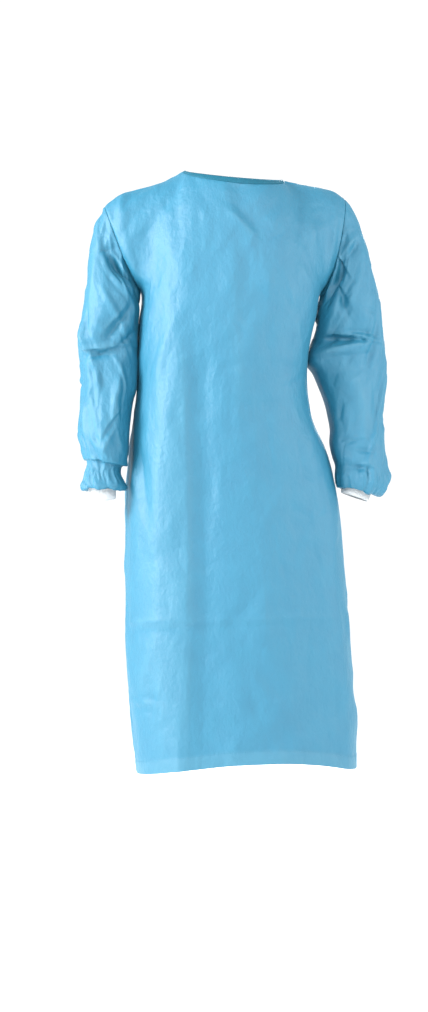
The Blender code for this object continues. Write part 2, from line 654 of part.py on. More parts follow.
def neck_binding(front, back, under, upper, material):
    """The strip folded over the neck edge, from the under back panel round the front to the upper one."""
    pieces = [
        [rows[::-1] for rows in neck_columns(*under)],
        neck_point(RIGHT, front[1:], back),
        neck_columns(*front),
        neck_point(LEFT, front[1:], back),
        [rows[::-1] for rows in neck_columns(*upper)],
    ]
    edge, lower, out, out_below, run = (np.concatenate(rows) for rows in zip(*pieces))
    above = unit(edge - lower)
    near, far = BINDING_GAP, BINDING_GAP + TAPE
    inner_near, inner_far = -CLOTH - near, -CLOTH - far
    bend, top = SEAM_GAP + BINDING_BEND * TAPE, SEAM_GAP + TAPE
    rows = [lower + out_below * depth for depth in (near, far)]
    rows += [
        edge + out * depth + above * up
        for depth, up in ((far, bend), (near, top), (inner_near, top), (inner_far, bend))
    ]
    rows += [lower + out_below * depth for depth in (inner_far, inner_near)]
    rows += [edge + out * depth + above * SEAM_GAP for depth in (inner_near, near)]
    count = len(run)
    numbers = [range(k * count, (k + 1) * count) for k in range(len(rows))]
    # Whether each strip of faces between two rows rises towards the neck's edge, which sets its diagonals.
    to_edge = (True, True, True, True, True, False, False, True, True, False)
    faces = []
    for first, second, rising in zip(numbers, numbers[1:] + numbers[:1], to_edge):
        for i in range(count - 1):
            a, b, c, d = first[i], first[i + 1], second[i], second[i + 1]
            outward = abs(run[i]) < abs(run[i + 1])
            faces += [(a, c, d), (a, d, b)] if outward == rising else [(a, c, b), (b, c, d)]
    faces += [[row[end] for row in numbers] for end in (0, -1)]
    return mesh_object("neck_binding", np.concatenate(rows), faces, material)


def along_columns(grid, height):
    """Where each column of a grid crosses a height."""
    crossings = []
    for column in grid.swapaxes(0, 1):
        crossings.append([np.interp(height, column[:, 2], column[:, axis]) for axis in range(3)])
    return np.array(crossings)


def tie(side, run, back, facing, material):
    """One half of the waist tie, on the back's own columns, from its sewn end by the side seam to the knot."""
    columns = np.flatnonzero((run * side >= -1e-6) & (run * side <= TIE_START_RUN))
    if side == LEFT:
        columns = columns[1:]
    row = np.argmin(np.abs(back[:, columns[0], 2] - TIE_HEIGHT))
    lift = facing[row, columns] * (TIE_LIFTS[side] + TAPE)
    edges = (TIE_HEIGHT - TIE_WIDTH / 2, TIE_HEIGHT + TIE_WIDTH / 2)
    rows = [along_columns(back, height)[columns] + lift for height in edges]
    normals = [facing[row, columns]] * 2
    return wall("tie_" + side_name(side), rows, normals, TAPE, material)


def knot(back, material):
    """The plain knot at the centre back, over the inner ends of both ties."""
    behind = np.interp(0.0, *along_columns(back, TIE_HEIGHT)[:, :2].T) + TAPE + SEAM_GAP + KNOT_CLEARANCE
    behind += max(TIE_LIFTS.values())
    shape = bmesh.new()
    bmesh.ops.create_cube(shape, size=1.0)
    bmesh.ops.scale(shape, vec=KNOT_SIZE, verts=shape.verts)
    bmesh.ops.bevel(shape, geom=shape.edges, offset=KNOT_ROUND, segments=2, profile=0.5, affect="EDGES")
    mesh = bpy.data.meshes.new("tie_knot")
    shape.to_mesh(mesh)
    shape.free()
    mesh.shade_smooth()
    mesh.materials.append(material)
    item = bpy.data.objects.new("tie_knot", mesh)
    item.location = (0, behind + KNOT_SIZE[1] / 2, TIE_HEIGHT)
    bpy.context.scene.collection.objects.link(item)
    return behind


def tie_end(side, back, behind, material):
    """One hanging end of the tie: flat, down from the knot, resting on the cloth where that stands out."""
    top = TIE_HEIGHT - KNOT_SIZE[2] / 2 - SEAM_GAP
    height = np.linspace(top, top - TIE_END_LENGTHS[side], TIE_END_STATIONS)
    share = np.linspace(0, 1, TIE_END_STATIONS)
    centre = side * (TIE_END_SPREAD[0] + (TIE_END_SPREAD[1] - TIE_END_SPREAD[0]) * share)
    halves = np.linspace(-TIE_END_WIDTH / 2, TIE_END_WIDTH / 2, 5)
    depth = np.array([
        max(np.interp(x + half, *along_columns(back, z)[:, :2].T) for half in halves)
        for x, z in zip(centre, height)
    ])
    from_knot = np.linspace(behind + KNOT_SIZE[1] / 2, 0, TIE_END_STATIONS)
    depth = np.maximum(depth + TAPE + TIE_END_CLEARANCE, from_knot)
    for _ in range(TIE_END_SMOOTHINGS):
        depth[1:-1] = np.maximum(depth[1:-1], (depth[:-2] + depth[2:]) / 2)
    middle = np.stack([centre, depth, height], axis=-1)
    out = np.tile([0.0, 1.0, 0.0], (TIE_END_STATIONS, 1))
    rows = [middle + (x, 0, 0) for x in (-TIE_END_WIDTH / 2, TIE_END_WIDTH / 2)]
    return wall("tie_end_" + side_name(side), rows, [out, out], TAPE, material)


def materials():
    made = {}
    for name, colour, roughness in (
        ("cloth", CLOTH_BLUE, 0.75),
        ("binding", BINDING_BLUE, 0.7),
        ("knit", KNIT_WHITE, 0.9),
    ):
        material = bpy.data.materials.new(name)
        material.use_nodes = True
        shader = material.node_tree.nodes["Principled BSDF"]
        shader.inputs["Base Color"].default_value = colour
        shader.inputs["Roughness"].default_value = roughness
        shader.inputs["Metallic"].default_value = 0.0
        made[name] = material
    return made


def main():
    for item in list(bpy.data.objects):
        bpy.data.objects.remove(item)
    made = materials()

    run, front, front_facing = body_face(FRONT)
    _, back, back_facing = body_face(BACK)
    below = slice(0, BODY_ROWS + 1)
    for column in (0, -1):
        joined(front_facing[below, column], back_facing[below, column])
    on_seam = np.abs(run) >= NECK_RUN
    shoulder_facing = unit(front_facing[-1, on_seam] + back_facing[-1, on_seam])
    front_facing[-1, on_seam] = shoulder_facing
    back_facing[-1, on_seam] = shoulder_facing
    for edge in ("last_row", "first_column", "last_column"):
        front, back = pulled_in(front, edge), pulled_in(back, edge)

    middle = len(HALF_RUNS) - 1
    wall("front", list(front), list(front_facing), CLOTH, made["cloth"], turn_at=middle)
    right, left = run <= LAP_RUN + 1e-6, run >= -LAP_RUN - 1e-6
    under, under_facing = underlap(run, back, back_facing)[:, right], back_facing[:, right]
    upper, upper_facing = back[:, left], back_facing[:, left]
    turn = middle - int(np.argmax(left))
    wall("back_right", list(under), list(under_facing), CLOTH, made["cloth"], turn_at=middle)
    wall("back_left", list(upper), list(upper_facing), CLOTH, made["cloth"], turn_at=turn)
    neck_binding(
        (run, front, front_facing),
        (back, back_facing),
        (run[right], under, under_facing),
        (run[left], upper, upper_facing),
        made["binding"],
    )
    behind = knot(back, made["cloth"])
    for side in (RIGHT, LEFT):
        sleeve(side, (front, front_facing), (back, back_facing), made["cloth"])
        cuff(side, made["knit"])
        tie(side, run, back, back_facing, made["cloth"])
        tie_end(side, back, behind, made["cloth"])


if __name__ == "__main__":
    main()
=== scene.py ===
"""The finished look of the surgical gown: thin creased cloth, knit cuffs, binding, ties and stitches.

Metres, +Z up. The gown faces -Y and the wearer's left is +X. Each piece follows its CAD node's outer face.
"""

from math import cos, pi, radians, sin

import bmesh
import bpy
import numpy as np
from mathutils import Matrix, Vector


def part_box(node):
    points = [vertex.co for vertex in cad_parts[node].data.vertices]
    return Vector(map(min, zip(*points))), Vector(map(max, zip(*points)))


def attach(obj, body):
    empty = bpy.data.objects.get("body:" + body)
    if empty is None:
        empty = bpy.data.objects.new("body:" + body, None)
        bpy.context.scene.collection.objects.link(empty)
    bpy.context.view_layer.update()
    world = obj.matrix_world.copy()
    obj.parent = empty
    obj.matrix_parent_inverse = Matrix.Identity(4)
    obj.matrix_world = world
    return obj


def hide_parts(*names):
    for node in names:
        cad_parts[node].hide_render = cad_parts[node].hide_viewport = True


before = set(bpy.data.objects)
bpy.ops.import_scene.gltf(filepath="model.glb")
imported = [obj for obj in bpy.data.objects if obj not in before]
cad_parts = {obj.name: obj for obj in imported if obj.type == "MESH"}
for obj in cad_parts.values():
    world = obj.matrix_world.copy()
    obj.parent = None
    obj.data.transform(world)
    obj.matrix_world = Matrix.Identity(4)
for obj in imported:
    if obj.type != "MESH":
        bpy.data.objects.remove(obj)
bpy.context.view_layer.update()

RIGHT, LEFT = -1, 1  # the wearer's sides: right lies at -X
SIDE_NAMES = {RIGHT: "right", LEFT: "left"}
WALLS = {"cloth": 0.0012, "knit": 0.0018, "tape": 0.0010}  # of the CAD solids
RIM_SHARE = 1.15  # a face with an edge under this share of the wall lies on a rim

CLOTH = 0.0005  # the fine cloth's own thickness
HEM_CLOTH = 0.0013
TAPE_CLOTH = 0.0008
KNIT_CLOTH = 0.0009
SEAM_CLOTH = 0.0004  # how much thicker the cloth is at a seam
INNER_CUT = (3.0, 0, 0)  # keeps the inner face's fibres apart from the outer one's
SEAM_REACH = 0.0007  # how far a sewn edge runs on past its solid's, and turns in
SEAM_DIP = 0.0007
SEAM_RIDGE = 0.0006
SEAM_RIDGE_AT = 0.0045  # its distance from the edge
SEAM_RIDGE_WIDTH = 0.0026
PUCKER = 0.00035
PUCKER_REACH = 0.012
HEM_WIDTH = 0.026
HEM_RISE = 0.0005
HEM_PALE = 0.22
LAP_RISE = 0.0003
LAP_PALE = 0.25
LAP_STITCHES = 0.013  # in from the lap's edge
LAP_STITCH_END = 6  # fine rows below the binding that they leave free
STITCH_PITCH = 0.0034
STITCH_LENGTH = 0.0025
STITCH_RADIUS = 0.00032
STITCH_SIDES = 6
STITCH_RINGS = ((0, 0.35, -0.5), (0.18, 0.9, 0.3), (0.82, 0.9, 0.3), (1, 0.35, -0.5))  # along, size, lift

# The body panels: how many rows of faces lie below the underarm, and how finely each is divided.
BODY_GAPS = 15
HEM_GAP_PARTS = (18, 14, 12, 10, 18)  # from the hem up past the packing fold
BODY_GAP_PARTS = 10
YOKE_GAP_PARTS = 5
FRONT_PITCH = 0.00265
BACK_PITCH = 0.0029
NECK_COLUMNS = (7, 17)  # the front's columns at its two neck points, of 25
BACK_COLUMNS = {RIGHT: (0, 17), LEFT: (8, 25)}  # of each back panel, in the same 25
LAP_BLEND = 5  # fine columns over which a back panel's creases give way to those of the lap
MIDDLE_COLUMN = 12
NECK_CORNER_ROWS = (1.0, 0.3)  # how sharply each row turns there, from the top edge down
YOKE_SMOOTHING = 36  # rounds of smoothing of the body panels' tops, below their edges
YOKE_TOP = (0.008, 0.060)  # from nothing to all of it, by the distance below the top edge
YOKE_LOW = (0.30, 0.22)
YOKE_SIDES = (4, 26)  # in fine columns from the side edges
FACING = (0.05, 0.35)  # how far a panel faces front or back where its creases start, and where they are whole

CREASE_BEND = 0.036  # how a crease curves, and a fold
FOLD_BEND = 0.10
FOLD_EDGE = 0.0022
FACET_ROUNDING = 0.002
CREST_HIGHLIGHT = 0.15  # how pale a crest is painted, as a painted highlight, and the rise from which it is fully so
CREST_HIGHLIGHT_RISE = 0.0030

# The tables of creases and folds hold degrees, and millimetres in these columns.
IN_MILLIMETRES = ("x", "z", "half_length", "half_width", "rise", "length", "width", "depth")

# The front's creases: middle, slant (0 across, 90 up), half length, half width, rise.
CREASE_COLUMNS = ("x", "z", "slant", "half_length", "half_width", "rise")
FRONT_CREASES = (
    (-101, -1000, 89, 107, 6, 1.8),
    (-99, -660, -90, 400, 17, 3.8),
    (-67, -692, -89, 416, 21, -3.6),
    (-151, -704, 90, 403, 40, 4.5),
    (-5, -341, -88, 124, 18, 2.4),
    (-212, -161, -73, 58, 12, 4.5),
    (-187, -166, -75, 80, 16, -4.5),
    (-181, -119, 21, 16, 4, -1.2),
    (-163, -288, 33, 24, 4, -1.4),
    (-172, -618, -5, 36, 4.5, -1.2),
    (-161, -532, -4, 28, 4, -1),
    (-168, -978, -3, 25, 6.5, -1.8),
    (-170, -989, -3, 23, 5.5, 1.3),
    (-177, -1001, -3, 20, 6.5, -1.6),
    (1, -96, -44, 50, 7.5, 3),
    (13, -84, -42, 40, 10.5, -2.6),
    (-63, -79, 72, 16, 5.5, 1.4),
    (3, -289, -59, 16, 4, 1.3),
    (-2, -296, -59, 14, 4, -1.1),
    (91, -210, -68, 24, 5.5, 1.5),
    (102, -244, -76, 28, 5.5, 1.5),
    (114, -306, -80, 42, 6.5, 1.7),
    (124, -189, -59, 30, 6.5, 1.5),
    (8, -968, -3, 22, 4, -1),
    (-37, -982, -3, 22, 4, -0.8),
    (-169, -837, 7, 45, 6.5, 2.4),
    (-74, -835, 5, 58, 6.5, 1.5),
    (87, -829, 1, 112, 6.5, 1.2),
    (-162, -854, 4, 52, 12, -1.7),
    (-20, -846, 3, 120, 10, -0.8),
    (-165, -914, 78, 49, 8.5, 1.8),
    (-175, -942, 73, 40, 10, 1.4),
    (-132, -57, -84, 14, 5.5, -1.1),
    (-116, -245, -86, 58, 14, -3),
    (-46, -180, 89, 66, 18, -2.1),
    (43, -796, -87, 76, 14, 1.4),
    (180, -975, -87, 86, 10.5, -2.2),
    (-82, -702, -49, 14, 4.5, 1.1),
    (-70, -733, -63, 16, 4.5, -1),
    (-3, -746, -55, 15, 4.5, 1),
    (58, -95, -55, 15, 5, 1.1),
    (72, -119, 24, 12, 5, -1.1),
    (124, -125, -64, 28, 8.5, -2.2),
    (140, -105, -72, 26, 8.5, 2.5),
)

# The backs' creases, in the same columns, as plain likenesses of the front's.
BACK_CREASES = {
    RIGHT: (
        (-110, -700, 89, 390, 8, 1.6),
        (-85, -760, 90, 300, 20, -3.2),
        (-145, -820, 88, 280, 30, 3.8),
        (-150, -834, -4, 52, 6.5, 2),
        (-60, -832, -2, 70, 6.5, 1.4),
        (-110, -850, -3, 60, 11, -1.4),
        (-172, -170, 74, 70, 14, -4.2),
        (-196, -160, 72, 56, 11, 4),
        (-125, -235, 80, 60, 13, -2.8),
        (-90, -150, 58, 50, 9, 2.4),
        (-70, -385, 82, 40, 9, 2.6),
        (-98, -480, -84, 45, 8, 2.8),
        (-55, -490, 86, 50, 8, -2.8),
        (-28, -395, 78, 36, 8, -2),
        (-160, -600, 6, 30, 5, -1.2),
        (-130, -960, 5, 26, 6, -1.4),
        (-20, -600, 88, 160, 9, 1.8),
    ),
    LEFT: (
        (105, -690, -89, 380, 8, 1.6),
        (80, -780, 90, 290, 20, -3.2),
        (150, -830, -88, 270, 30, 3.6),
        (140, -836, 3, 60, 6.5, 1.8),
        (40, -833, 1, 70, 6.5, 1.4),
        (90, -852, 3, 70, 11, -1.4),
        (160, -165, -75, 66, 14, -4),
        (186, -150, -72, 52, 11, 3.8),
        (112, -225, -80, 60, 13, -2.8),
        (75, -140, -56, 52, 9, 2.4),
        (50, -382, -80, 40, 9, 2.4),
        (88, -385, -86, 36, 8, -2.2),
        (92, -482, 84, 46, 8, 2.8),
        (50, -488, -86, 50, 8, -2.6),
        (20, -640, -88, 170, 9, 1.8),
        (165, -540, -6, 30, 5, -1.2),
        (120, -985, -4, 28, 6, -1.4),
    ),
}

# The sleeves' creases: how far round (0 outer, 90 front, 180 inner, 270 back), then as above, the slant
# rising towards the inner side.
SLEEVE_CREASE_COLUMNS = ("turn", "z", "slant", "half_length", "half_width", "rise")
SLEEVE_CREASES = {
    RIGHT: (
        (107, -179, -40, 38, 7, -7.5),
        (112, -168, -40, 36, 7, 5.1),
        (145, -255, 90, 35, 7, -6.7),
        (132, -255, 88, 34, 6, 3.9),
        (103, -279, 56, 35, 6, -6.3),
        (94, -272, 56, 32, 6, 4.2),
        (120, -310, 35, 26, 5, -6.6),
        (62, -340, 4, 38, 6.5, -5.4),
        (60, -328, 2, 34, 6, 3.6),
        (100, -426, 88, 53, 7, 4.5),
        (75, -412, 90, 50, 9, -4.5),
        (91, -504, 60, 29, 6, 4.5),
        (80, -89, 70, 16, 6, -4.8),
        (70, -143, 4, 20, 6.5, -5.1),
        (40, -200, 80, 50, 12, 3),
        (20, -400, 86, 60, 11, -2.7),
        (215, -296, 22, 40, 6.5, -6.9),
        (222, -284, 22, 38, 6, 4.5),
        (245, -336, -22, 36, 6, -6),
        (285, -232, 42, 46, 7.5, -6.6),
        (278, -224, 42, 40, 6, 4.2),
        (262, -430, 82, 55, 8, 4.5),
        (300, -150, -30, 30, 7, -4.5),
        (320, -440, 84, 60, 11, -3.6),
    ),
    LEFT: (
        (110, -95, 82, 28, 6.5, -6.7),
        (80, -127, -35, 30, 6, 5.7),
        (74, -138, -35, 28, 6, -5.4),
        (121, -191, -45, 18, 5.5, -6.6),
        (103, -241, 72, 28, 5.5, -5.4),
        (52, -255, 10, 15, 5.5, -3.9),
        (75, -293, 2, 28, 5.5, -6.6),
        (118, -307, 0, 32, 5.5, -7.5),
        (105, -325, -16, 47, 7, 6.9),
        (96, -341, -14, 40, 7, -4.5),
        (119, -497, 0, 22, 5.5, -5.4),
        (87, -519, 12, 16, 5, -4.5),
        (108, -551, 4, 24, 6, -6),
        (83, -562, 90, 14, 5, -6),
        (86, -430, 88, 64, 10, 4.5),
        (60, -420, 86, 50, 10, -3),
        (30, -200, 82, 50, 12, 2.7),
        (215, -286, -22, 40, 6.5, -6.9),
        (224, -274, -22, 36, 6, 4.5),
        (248, -335, 24, 36, 6, -6),
        (290, -214, -42, 46, 7.5, -6.6),
        (282, -206, -40, 40, 6, 4.2),
        (255, -440, 82, 56, 8, 4.5),
        (310, -150, 30, 30, 7, -4.2),
    ),
}
SLEEVE_RADIUS = 0.060  # turns angles round a sleeve into distances
SLEEVE_PARTS = 4  # parts of each of the 48 gaps round a sleeve
SLEEVE_ROW_PITCH = 0.0026
END_ROWS = {RIGHT: 11, LEFT: 8}  # the gathered rows at the end of each sleeve's solid, its seam included
GATHERS_START = {RIGHT: 0.16, LEFT: 0.05}  # in shares of the end's length
SMOOTH_WAVES = 4  # how many waves round a sleeve's gathered end are kept from its solid
INNER_SIDE = 62  # degrees round the inner side where the creases only go inwards
INNER_TOP = (-0.20, -0.25)
# The gathers' least and most: step, width and lean in degrees, height in metres, end in shares.
GATHER_STEP = (7, 19)
GATHER_WIDTH = (2.2, 4.6)
GATHER_LEAN = (-14, 14)
GATHER_HEIGHT = (0.0009, 0.0024)
GATHER_END = (0.42, 0.74)

# Folds where the cloth above hangs over the cloth below, in the sleeve creases' columns.
FOLDS = {
    RIGHT: (
        (118, -152, -62, 40, 15, 4.2),
        (104, -196, -66, 34, 15, 3.8),
        (92, -328, 14, 40, 13, 4),
        (60, -330, -6, 30, 11, 2.6),
        (112, -395, -74, 50, 15, 3),
        (76, -83, -24, 20, 9, 2.4),
        (96, -470, 58, 34, 12, 3),
        (236, -300, -12, 46, 13, 4.4),
        (268, -350, 16, 38, 12, 3.2),
        (285, -170, 50, 40, 14, 3.6),
    ),
    LEFT: (
        (100, -302, 6, 52, 15, 5.2),
        (58, -296, 10, 24, 10, 2.4),
        (116, -150, 50, 40, 14, 4),
        (84, -110, -30, 26, 11, 3.4),
        (104, -222, 58, 30, 11, 2.6),
        (92, -547, 10, 22, 9, 4),
        (112, -500, -14, 22, 10, 2.4),
        (238, -298, 12, 46, 13, 4.4),
        (266, -344, -16, 38, 12, 3.2),
        (286, -168, -50, 40, 14, 3.6),
    ),
}

# Small creases all over, in fields: the facets have no crispness.
CRUMPLE_COLUMNS = ("count", "length", "width", "depth", "slant", "crispness", "spread")
BODY_CRUMPLES = (
    (46, 110, 19, 2, 89, 2.0, 24),
    (60, 90, 30, 3.4, 84, 0, 30),
    (120, 50, 16, 1.8, 78, 0, 45),
    (150, 34, 8.5, 1.1, 86, 1.4, 24),
    (110, 20, 7, 0.9, 35, 1.4, 24),
)
SLEEVE_CRUMPLES = (
    (30, 60, 15, 2.4, 80, 2.0, 24),
    (52, 65, 21, 6.2, 72, 0, 35),
    (90, 34, 12, 3.4, 50, 0, 55),
    (110, 28, 6.2, 1.6, 68, 1.4, 24),
    (100, 18, 5.5, 1.4, 15, 1.4, 24),
)

# The body panels in the order they are made. sign turns their normals out.
PANEL_COLUMNS = ("node", "pitch", "first_column", "sign", "creases", "sewn", "seed", "laps", "flat", "area")
PANELS = (
    ("front", FRONT_PITCH, 0, -1, FRONT_CREASES, (RIGHT, LEFT), 11, (), (0.66, 1.13), 0.66),
    ("back_right", BACK_PITCH, BACK_COLUMNS[RIGHT][0], 1, BACK_CREASES[RIGHT], (RIGHT,), 12, (LEFT,),
     (0.42, 1.15), 0.42),
    ("back_left", BACK_PITCH, BACK_COLUMNS[LEFT][0], 1, BACK_CREASES[LEFT], (LEFT,), 13, (RIGHT,),
     (0.42, 1.15), 0.42),
)
SLEEVE_CUT = ((0.40, 0.56), 0.19)
CUFF_CUT = (0.18, 0.048)
BINDING_CUT = (0.62, 0.020)

RIBS = 64
RIB_PARTS = 6
RIB_DEPTH = 0.0006
CUFF_PARTS = 8  # parts of each gap round a cuff's solid
CUFF_ROWS = 24
CUFF_DROOP = 0.0006
CUFF_ROLL = 0.0012  # how far its last rows turn in
CUFF_DROP = {RIGHT: 0.009, LEFT: 0.0}  # how much lower its outer side ends

BINDING_WIDTH = 0.0095
BINDING_LIFT = 0.0004  # between the binding's leaves and the cloth
BINDING_CLOTH = 0.0006
BINDING_GROOVE = (BINDING_WIDTH - 0.0024, BINDING_LIFT + BINDING_CLOTH)  # where its section is stitched

KNOT_HEIGHT = -0.429
KNOT_REACH = 0.008  # how far the tapes are drawn into the knot
TAPE_EDGE = 0.0003
TAPE_PLEAT = 0.0008
TAPE_PALE = 0.1
TAPE_PARTS = 10  # of each gap along a tape's solid
ENDS_LOW = -0.725
UNDER_TIE = (0.034, 0.020)  # how far from the tie's height, and from the middle, it still holds the cloth
UNDER_ENDS = (0.085, 0.060)
# The tapes of each side: name, the axes each runs and is wide in, its parts across, and its width.
TAPES = (("tie_", (0, 2), 14, 0.028), ("tie_end_", (2, 0), 12, 0.022))

CLOTH_COLOURS = ((0.001, 0.098, 0.180), (0.006, 0.148, 0.242), (0.08, 0.215, 0.28))  # dark, light, and pale: the pale one is a painted highlight on crests, and the paler tone of the hem, lap and tapes
BINDING_COLOURS = ((0.000, 0.066, 0.112), (0.000, 0.098, 0.152))
KNIT_COLOURS = ((0.42, 0.45, 0.47), (0.62, 0.64, 0.65))
THREAD_COLOUR = (0.004, 0.13, 0.23)
BINDING_THREAD_COLOUR = (0.002, 0.155, 0.24)

PIXEL = 0.0019  # metres for one pixel of the picture, at the gown
CAMERA_AWAY = 4.0
CAMERA_TURN = -6.0
CAMERA_ACROSS = -19  # pixels from the origin
CAMERA_UP = -328
PICTURE_HEIGHT = 1012
SENSOR = 36.0
FLOOR_HEIGHT = -1.556
FLOOR_SIZE = 30.0
WORLD_LIGHT = 1.08
LIGHTS_AIM = (0.0, 0.0, -0.5)
LIGHTS = (  # name, place, size, power
    ("key", (-3.5, -1.0, 0.8), 2.0, 330),
    ("front_fill", (0.4, -3.4, 1.6), 1.6, 84),
    ("right_fill", (3.0, -1.4, 0.4), 1.6, 74),
    ("back_key", (0.9, 3.6, 0.6), 1.8, 170),
)


def smoothstep(low, high, value):
    s = np.clip((value - low) / (high - low), 0, 1)
    return s * s * (3 - 2 * s)


def bell(offset, width):
    return np.exp(-((offset / width) ** 2))


def turned(turn, start):
    """How far round each point lies from a start, from -180 to 180 degrees."""
    return (turn - start + 180) % 360 - 180


def unit(vectors):
    return vectors / np.linalg.norm(vectors, axis=-1, keepdims=True)


def beside(vert):
    return [edge.other_vert(vert) for edge in vert.link_edges]


def outer_skin(node, wall, away=None):
    """A node's outer face alone, without its inner face and the rims between the two."""
    skin = bmesh.new()
    skin.from_mesh(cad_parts[node].data)
    bmesh.ops.remove_doubles(skin, verts=skin.verts, dist=1e-5)
    rims = [face for face in skin.faces if min(edge.calc_length() for edge in face.edges) < wall * RIM_SHARE]
    bmesh.ops.delete(skin, geom=rims, context="FACES")
    skin.normal_update()
    islands, waiting = [], set(skin.faces)
    while waiting:
        island, queue = [], [waiting.pop()]
        while queue:
            face = queue.pop()
            island.append(face)
            near = {other for edge in face.edges for other in edge.link_faces} & waiting
            waiting -= near
            queue += near
        islands.append(island)

    def outwardness(island):
        centres = np.array([face.calc_center_median() for face in island])
        ways = centres - centres.mean(axis=0) if away is None else np.array(away)
        normals = np.array([face.normal * face.calc_area() for face in island])
        return (ways * normals).sum()

    outer = max(islands, key=outwardness)
    others = [face for island in islands if island is not outer for face in island]
    bmesh.ops.delete(skin, geom=others, context="FACES")
    return skin


def in_order(verts, first):
    """A row's corners in order from the first one, along the edges between them."""
    row, waiting = [first], set(verts) - {first}
    while waiting:
        row.append(next(vert for vert in beside(row[-1]) if vert in waiting))
        waiting.remove(row[-1])
    return row


def positions(row):
    return np.array([vert.co[:] for vert in row])


def panel_rows(node, wall, away=None):
    """A panel's outer face as a grid: rows from the hem up, columns towards +X."""
    skin = outer_skin(node, wall, away)
    ends = (vert for vert in skin.verts if len(vert.link_edges) == 2)
    first, last = sorted(ends, key=lambda vert: vert.co.x)
    paths = []
    for second in beside(first):
        path = [first, second]
        while path[-1] is not last:
            steps = (edge.other_vert(path[-1]) for edge in path[-1].link_edges if edge.is_boundary)
            path.append(next(vert for vert in steps if vert is not path[-2]))
        paths.append(path)
    rows = [min(paths, key=len)]
    seen = set(rows[0])
    while True:
        near = {other for vert in rows[-1] for other in beside(vert)} - seen
        if not near:
            break
        ends = [vert for vert in near if sum(other in near for other in beside(vert)) == 1]
        start = next(vert for vert in ends if rows[-1][0] in beside(vert))
        rows.append(in_order(near, start))
        seen |= near
    return np.array([positions(row) for row in rows])


def tape_edges(node, along, wide):
    """The two long edges of a tape's outer face, in order along it, by the axes it runs and is wide in."""
    skin = outer_skin(node, WALLS["tape"], away=(0, 1, 0))
    points = positions(skin.verts)
    pairs = points[np.argsort(points[:, along])].reshape(-1, 2, 3)
    return np.array([pair[np.argsort(pair[:, wide])] for pair in pairs]).swapaxes(0, 1)


def turned_like(side, row):
    """The ring turned so that it runs from its outer point over the front."""
    points = positions(row)
    x, y = points[:, 0] - points[:, 0].mean(), points[:, 1] - points[:, 1].mean()
    area = (x * np.roll(y, -1) - np.roll(x, -1) * y).sum()
    return row if area * side < 0 else [row[0]] + row[:0:-1]


def tube_rows(node, wall, side, start):
    """A tube's outer face as rings from its top down, all with as many points as the fullest one."""
    skin = outer_skin(node, wall)
    top = [max((vert for vert in skin.verts if vert.is_boundary), key=lambda vert: vert.co.z)]
    while True:
        steps = [edge.other_vert(top[-1]) for edge in top[-1].link_edges if edge.is_boundary]
        steps = [vert for vert in steps if vert not in top]
        if not steps:
            break
        top.append(steps[0])
    at = top.index(max(top, key=start))
    rings = [turned_like(side, top[at:] + top[:at])]
    seen = set(rings[0])
    while True:
        last = rings[-1]
        near = {other for vert in last for other in beside(vert)} - seen
        if not near:
            break
        ring = turned_like(side, in_order(near, next(iter(near))))
        touching = [vert in beside(last[0]) for vert in ring]
        at = next(i for i in range(len(ring)) if touching[i] and not touching[i - 1])
        if len(ring) > len(last):
            at += 1
        rings.append(ring[at:] + ring[:at])
        seen |= near
    most = max(len(ring) for ring in rings)
    return np.array([positions(ring) if len(ring) == most else doubled(positions(ring)) for ring in rings])


def doubled(ring):
    """A closed ring with a point added between each two, on a smooth curve."""
    before, after, second = (np.roll(ring, step, axis=0) for step in (1, -1, -2))
    between = (9 * (ring + after) - before - second) / 16
    return np.stack([ring, between], axis=1).reshape(-1, 3)


def refined(points, parts, closed=False, corners=()):
    """The grid with each gap between its rows divided, on smooth curves through the rows.

    corners lists rows where the curve may turn, each with how sharply for every column."""
    pad = 2 if closed else 0
    if closed:
        points = np.concatenate([points[-pad:], points, points[: pad + 1]])
    spans = np.linalg.norm(np.diff(points, axis=0), axis=-1).mean(axis=1)
    slopes = np.gradient(points, np.append(0, np.cumsum(spans)), axis=0, edge_order=2)
    leaving, arriving = slopes.copy(), slopes.copy()
    for at, share in corners:
        ahead = (points[at + 1] - points[at]) / spans[at]
        behind = (points[at] - points[at - 1]) / spans[at - 1]
        leaving[at] += (ahead - leaving[at]) * share[:, None]
        arriving[at] += (behind - arriving[at]) * share[:, None]
    fine = []
    for gap, count in enumerate(parts):
        at = gap + pad
        s = (np.arange(count) / count)[:, None, None]
        fine.append(
            points[at] * (1 + 2 * s) * (1 - s) ** 2
            + leaving[at] * spans[at] * s * (1 - s) ** 2
            + points[at + 1] * s * s * (3 - 2 * s)
            - arriving[at + 1] * spans[at] * s * s * (1 - s)
        )
    if not closed:
        fine.append(points[-1][None])
    return np.concatenate(fine)


def across(points):
    return points.swapaxes(0, 1)


def parts_for(points, pitch, least=2):
    """How many parts each gap between the rows needs, for the fine grid's pitch."""
    spans = np.linalg.norm(np.diff(points, axis=0), axis=-1).mean(axis=1)
    return np.maximum(least, np.round(spans / pitch).astype(int))


def grid_normals(points, sign, closed=False):
    if closed:
        around = np.roll(points, -1, axis=1) - np.roll(points, 1, axis=1)
    else:
        around = np.gradient(points, axis=1)
    return sign * unit(np.cross(np.gradient(points, axis=0), around))


def lengths_along(points):
    """For each point, the length along its column from the first row."""
    steps = np.linalg.norm(np.diff(points, axis=0), axis=-1)
    return np.concatenate([np.zeros((1, points.shape[1])), np.cumsum(steps, axis=0)])


def named(rows, columns):
    """Each of a table's rows by its columns' names, with its millimetres as metres."""
    for row in rows:
        yield {name: value / 1000 if name in IN_MILLIMETRES else value for name, value in zip(columns, row)}


def marks(rows, columns, sideways, up):
    """Each of a table's rows, with every point's distance along it and off it."""
    for mark in named(rows, columns):
        a, b = sideways(mark), up(mark)
        slant = radians(mark["slant"])
        yield mark, a * cos(slant) + b * sin(slant), b * cos(slant) - a * sin(slant)


